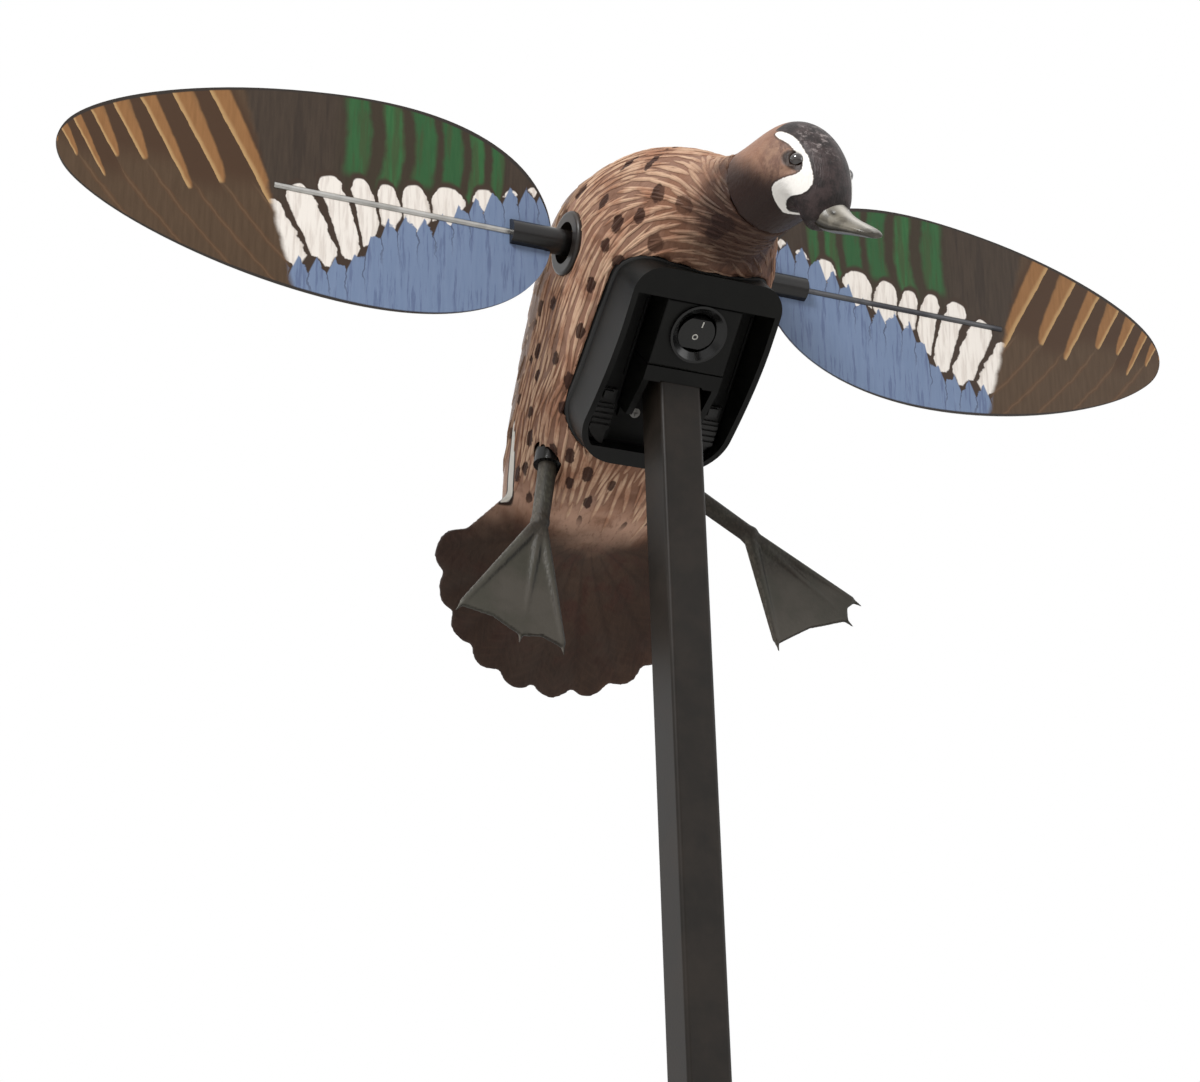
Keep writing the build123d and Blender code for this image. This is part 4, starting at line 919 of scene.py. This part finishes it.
def wingFinish():
    look = wingLook
    f = Finish("wingPrint", look, rough=0.4, specular=0.2)
    plane = f.aligned(-duck["wingTilt"], duck["back"], duck["height"])
    x, deep, h = f.parts(plane)
    a = abs(x)  # out along the wing, while h runs up across it
    flat = f.node("CombineXYZ", None, {0: a, 1: h})
    jitter = (f.cloud(flat, 0.12, 3, kind="2D") - 0.5) * 6
    grain = f.cloud(f.turned(flat, size=(0.5, 0.05, 1)), 1.0, 4, 0.6, "2D")
    outerShare = f.step(a - h * 0.28 + jitter * 0.6, 203, 207)
    inner = wingFeathers(f, look, a, h, jitter, grain, flat)
    colour = f.colour(outerShare, inner, wingRays(f, look, a, h, jitter, grain))
    # thin dark rim along the blade's edge
    half = (look["tip"] - look["root"]) / 2
    u = (a - (look["tip"] + look["root"]) / 2) / half
    full = f.larger(1 - abs(u) ** look["rounding"], 0.0001) ** (1 / look["rounding"])
    rimUp, rimDown = (wide * (1 - u * taper) * full
                      for wide, taper in (look["top"], look["bottom"]))
    edge = f.smaller(rimUp - h, rimDown + h)
    colour = f.colour(1 - f.step(edge, 0.7, 1.5), colour, "rim")
    scuff = f.cloud(plane, 0.09, 4, 0.7)
    plain = f.colour(f.step(scuff, 0.45, 0.7) * 0.5, "backTone", "backScuff")
    colour = f.colour(f.step(deep, 0.3, 0.5), colour, plain)
    f.paint(colour)
    f.feed("Roughness", 0.34 + scuff * 0.18)
    f.relief(f.cloud(plane, 0.03, 2) * 0.35 + f.cloud(plane, 0.6, 2) * 0.02, 0.5)
    return f


coat(wingFinish(), "wing_left_blade", "wing_right_blade")
print("wings painted")


brushing = {"along": 60, "across": 900}  # how fine the brushed lines are, per metre


def mouldedFinish(name, base, other, rough, relief, scale=0.5, specular=0.4):
    f = Finish(name, rough=rough, specular=specular)
    spot = f.turned(f.place(), size=(1000, 1000, 1000))
    cloudy = f.cloud(spot, 0.04, 4, 0.6)
    grain = f.cloud(spot, scale, 3)
    f.paint(f.colour(f.step(cloudy, 0.35, 0.7), tone(*base), tone(*other)))
    f.feed("Roughness", rough - 0.06 + cloudy * 0.14)
    f.relief(grain * relief, 0.8)
    return f


def metalFinish(name, base, other, rough, axis=(1, 0, 0)):
    f = Finish(name, rough=rough, metal=1.0)
    size = tuple(brushing["along"] if c else brushing["across"] for c in axis)
    spot = f.turned(f.place(), size=size)
    brushed = f.cloud(spot, 1.0, 4, 0.6)
    blotch = f.cloud(f.place(), 60, 3)
    f.paint(f.colour(f.step(blotch, 0.4, 0.65), tone(*base), tone(*other)))
    f.feed("Roughness", rough - 0.08 + brushed * 0.2)
    f.relief(brushed * 0.02, 0.6)
    return f


# base and other colour, roughness, relief, grain size and specular, then the CAD nodes that wear it
moulded = {
    "boxBlack": (((11, 11, 10), (17, 17, 15), 0.42, 0.05, 1.2, 0.17),
                 "control_box battery_door_left battery_door_right switch_console stake_socket "
                 "motor_cradle motor_end_cap"),
    "tubeBlack": (((13, 11, 10), (24, 20, 18), 0.24, 0.02, 0.5, 0.5),
                  "wing_left_tube wing_right_tube hub_nut_left hub_nut_right"),
    "cupBrown": (((22, 18, 15), (44, 36, 30), 0.36, 0.03), "hub_cup_left hub_cup_right"),
    "switchBlack": (((9, 9, 9), (14, 14, 13), 0.2, 0.02),
                    "switch_body switch_rocker leg_grommet_left leg_grommet_right"),
    "sealRubber": (((26, 26, 26), (34, 33, 32), 0.8, 0.05), "belly_box_seal"),
    "stakePaint": (((26, 22, 18), (38, 32, 27), 0.4, 0.04, 0.8, 0.22),
                   "stake_upper stake_lower stake_joiner stake_spike foot_step"),
    "plugPlastic": (((15, 14, 13), (24, 22, 20), 0.35, 0.04),
                    "door_latch_left door_latch_right stake_cap"),
    "cellWrap": (((36, 62, 52), (30, 52, 44), 0.3, 0.01), "battery_cells"),
    "magnetDark": (((62, 60, 58), (48, 46, 45), 0.5, 0.05),
                   "motor_field_magnets coupler_magnets wing_left_magnet wing_right_magnet "
                   "motor_brushes")}
# base and other colour, roughness and the way it is brushed, then the CAD nodes that wear it
metals = {
    "steelBright": (((196, 194, 190), (170, 168, 164), 0.3),
                    "wing_right_spine drive_shaft door_hinge_pins battery_contacts "
                    "coupler_grub_screws strap_screws"),
    # painted shade: one wing's spine wears a darker copy of the same steel, as the spine that lies
    # in shadow
    "steelDull": (((96, 96, 98), (74, 74, 78), 0.4), "wing_left_spine"),
    "steelPlain": (((170, 168, 165), (140, 138, 134), 0.38, (0, 0, 1)),
                   "socket_screws step_bolts joiner_rivet motor_strap"),
    "motorSteel": (((176, 176, 174), (150, 150, 148), 0.35), "motor_can armature_core"),
    "copperWound": (((186, 104, 62), (156, 84, 50), 0.35, (0, 1, 0)), "armature_coils commutator"),
    "brassPlain": (((196, 160, 92), (168, 134, 76), 0.35),
                   "hub_bushes motor_bushes switch_terminals shaft_coupler_left "
                   "shaft_coupler_right")}

for make, table in ((mouldedFinish, moulded), (metalFinish, metals)):
    for name, (values, wearers) in table.items():
        coat(make(name, *values), *wearers.split())
print("moulded and metal pieces coated")


# the ridge colour is a painted highlight on the sides facing the lamp
legLook = {"voxel": 0.0007, "webFrom": (40, 60), "grey": (64, 62, 54), "dark": (17, 16, 13),
           "warm": (50, 43, 36), "web": (84, 80, 73), "ridgeHighlight": (126, 120, 110)}


def legFinish():
    look = legLook
    f = Finish("legRubber", look, rough=0.5, specular=0.26)
    spot = f.turned(f.place(), size=(1000, 1000, 1000))
    cloudy = f.cloud(spot, 0.035, 4, 0.6)
    scute = f.cells(f.turned(spot, size=(0.7, 0.7, 0.4)))
    colour = f.colour(f.step(cloudy, 0.36, 0.62), "grey", "warm")
    web = f.attribute("webShare")
    colour = f.colour(web * f.step(cloudy, 0.3, 0.6) * 0.75, colour, "web")
    # painted highlight on the sides that face the lamp, painted shade on the sides turned away
    colour = f.colour(f.attribute("toeHighlight") * 0.55, colour, "ridgeHighlight")
    colour = f.colour(f.step(scute, 0.35, 0.6) * 0.3 * (1 - web), colour, "dark")
    colour = f.colour(f.attribute("shadeSide") * 0.8, colour, "dark")
    f.paint(colour)
    f.feed("Roughness", 0.42 + cloudy * 0.2)
    fine = f.cloud(spot, 0.5, 3)
    f.relief(fine * 0.15 - f.step(scute, 0.3, 0.6) * 0.12 * (1 - web), 0.8)
    return f


def makeLeg(side, finish):
    made = remeshed("leg_" + side, "leg" + side.capitalize(), legLook["voxel"])
    points = pointsOf(made) * 1000
    ways = normalsOf(made)
    high = points[:, 2].max()
    web = smooth(np.abs(ways[:, 1]), 0.86, 0.97) * smooth(high - points[:, 2], *legLook["webFrom"])
    # sides facing the lamp get a painted highlight, sides turned away painted shade
    ridgeHighlight = smooth(-ways[:, 0] * 0.8 - ways[:, 1] * 0.2, 0.45, 0.85) * smooth(-web, -0.6, -0.1)
    store(made, "webShare", web)
    store(made, "toeHighlight", ridgeHighlight)
    store(made, "shadeSide", smooth(ways[:, 0] * 0.9 - ways[:, 1] * 0.1, 0.25, 0.8))
    finishPiece(made, finish, "decoy", "leg_rubber", "leg_" + side)
    print("leg", side, len(made.data.polygons))


rubber = legFinish()
for side in ("left", "right"):
    makeLeg(side, rubber)


markLook = {"ring": 1.5, "inner": 0.95, "bar": (0.32, 1.5), "sink": 0.1, "raise": 0.12, "sides": 32,
            "ringPlace": (-0.3, 15.7), "barPlace": (1.4, 8.8), "below": -90.0}


# a small raised mark on the rocker, turned with the rocker's face
def makeMark(name, place, outline, finish):
    down = toFrame([(*place, markLook["below"]), (*place, 0.0)])
    way = Vector(down[1] - down[0]).normalized()
    spot, normal = nodes["switch_rocker"].ray_cast(Vector(down[0]), way)[1:3]
    along = Vector(toFrame([(0, 1, 0)])[0] - toFrame([(0, 0, 0)])[0]).normalized()
    aside = along.cross(normal).normalized()
    turn = Matrix((aside, normal.cross(aside), normal)).transposed().to_4x4()
    working = bmesh.new()
    rings = []
    for high in (-markLook["sink"], markLook["raise"]):
        rings.append([[working.verts.new((u / 1000, t / 1000, high / 1000)) for u, t in line]
                      for line in outline])
    count = len(outline[0])
    for k in range(count):
        n = (k + 1) % count
        for line in range(len(outline)):
            low, high = rings[0][line], rings[1][line]
            working.faces.new((low[k], low[n], high[n], high[k]))
        if len(outline) == 2:
            for ring in rings:
                working.faces.new((ring[0][k], ring[0][n], ring[1][n], ring[1][k]))
    if len(outline) == 1:
        for ring in rings:
            working.faces.new(ring[0])
    bmesh.ops.recalc_face_normals(working, faces=working.faces)
    bmesh.ops.transform(working, matrix=Matrix.Translation(spot) @ turn, verts=working.verts)
    finishPiece(meshFrom(name, working), finish, "rocker", "switch_black")


def makeMarks():
    look = markLook
    white = mouldedFinish("markWhite", (198, 196, 190), (176, 173, 166), 0.5, 0.01)
    turns = [2 * math.pi * k / look["sides"] for k in range(look["sides"])]
    ring = [[(r * math.cos(t), r * math.sin(t)) for t in turns]
            for r in (look["inner"], look["ring"])]
    half, length = look["bar"]
    bar = [[(-half, -length), (half, -length), (half, length), (-half, length)]]
    makeMark("markOff", look["ringPlace"], ring, white)
    makeMark("markOn", look["barPlace"], bar, white)


makeMarks()
print("switch marks made")
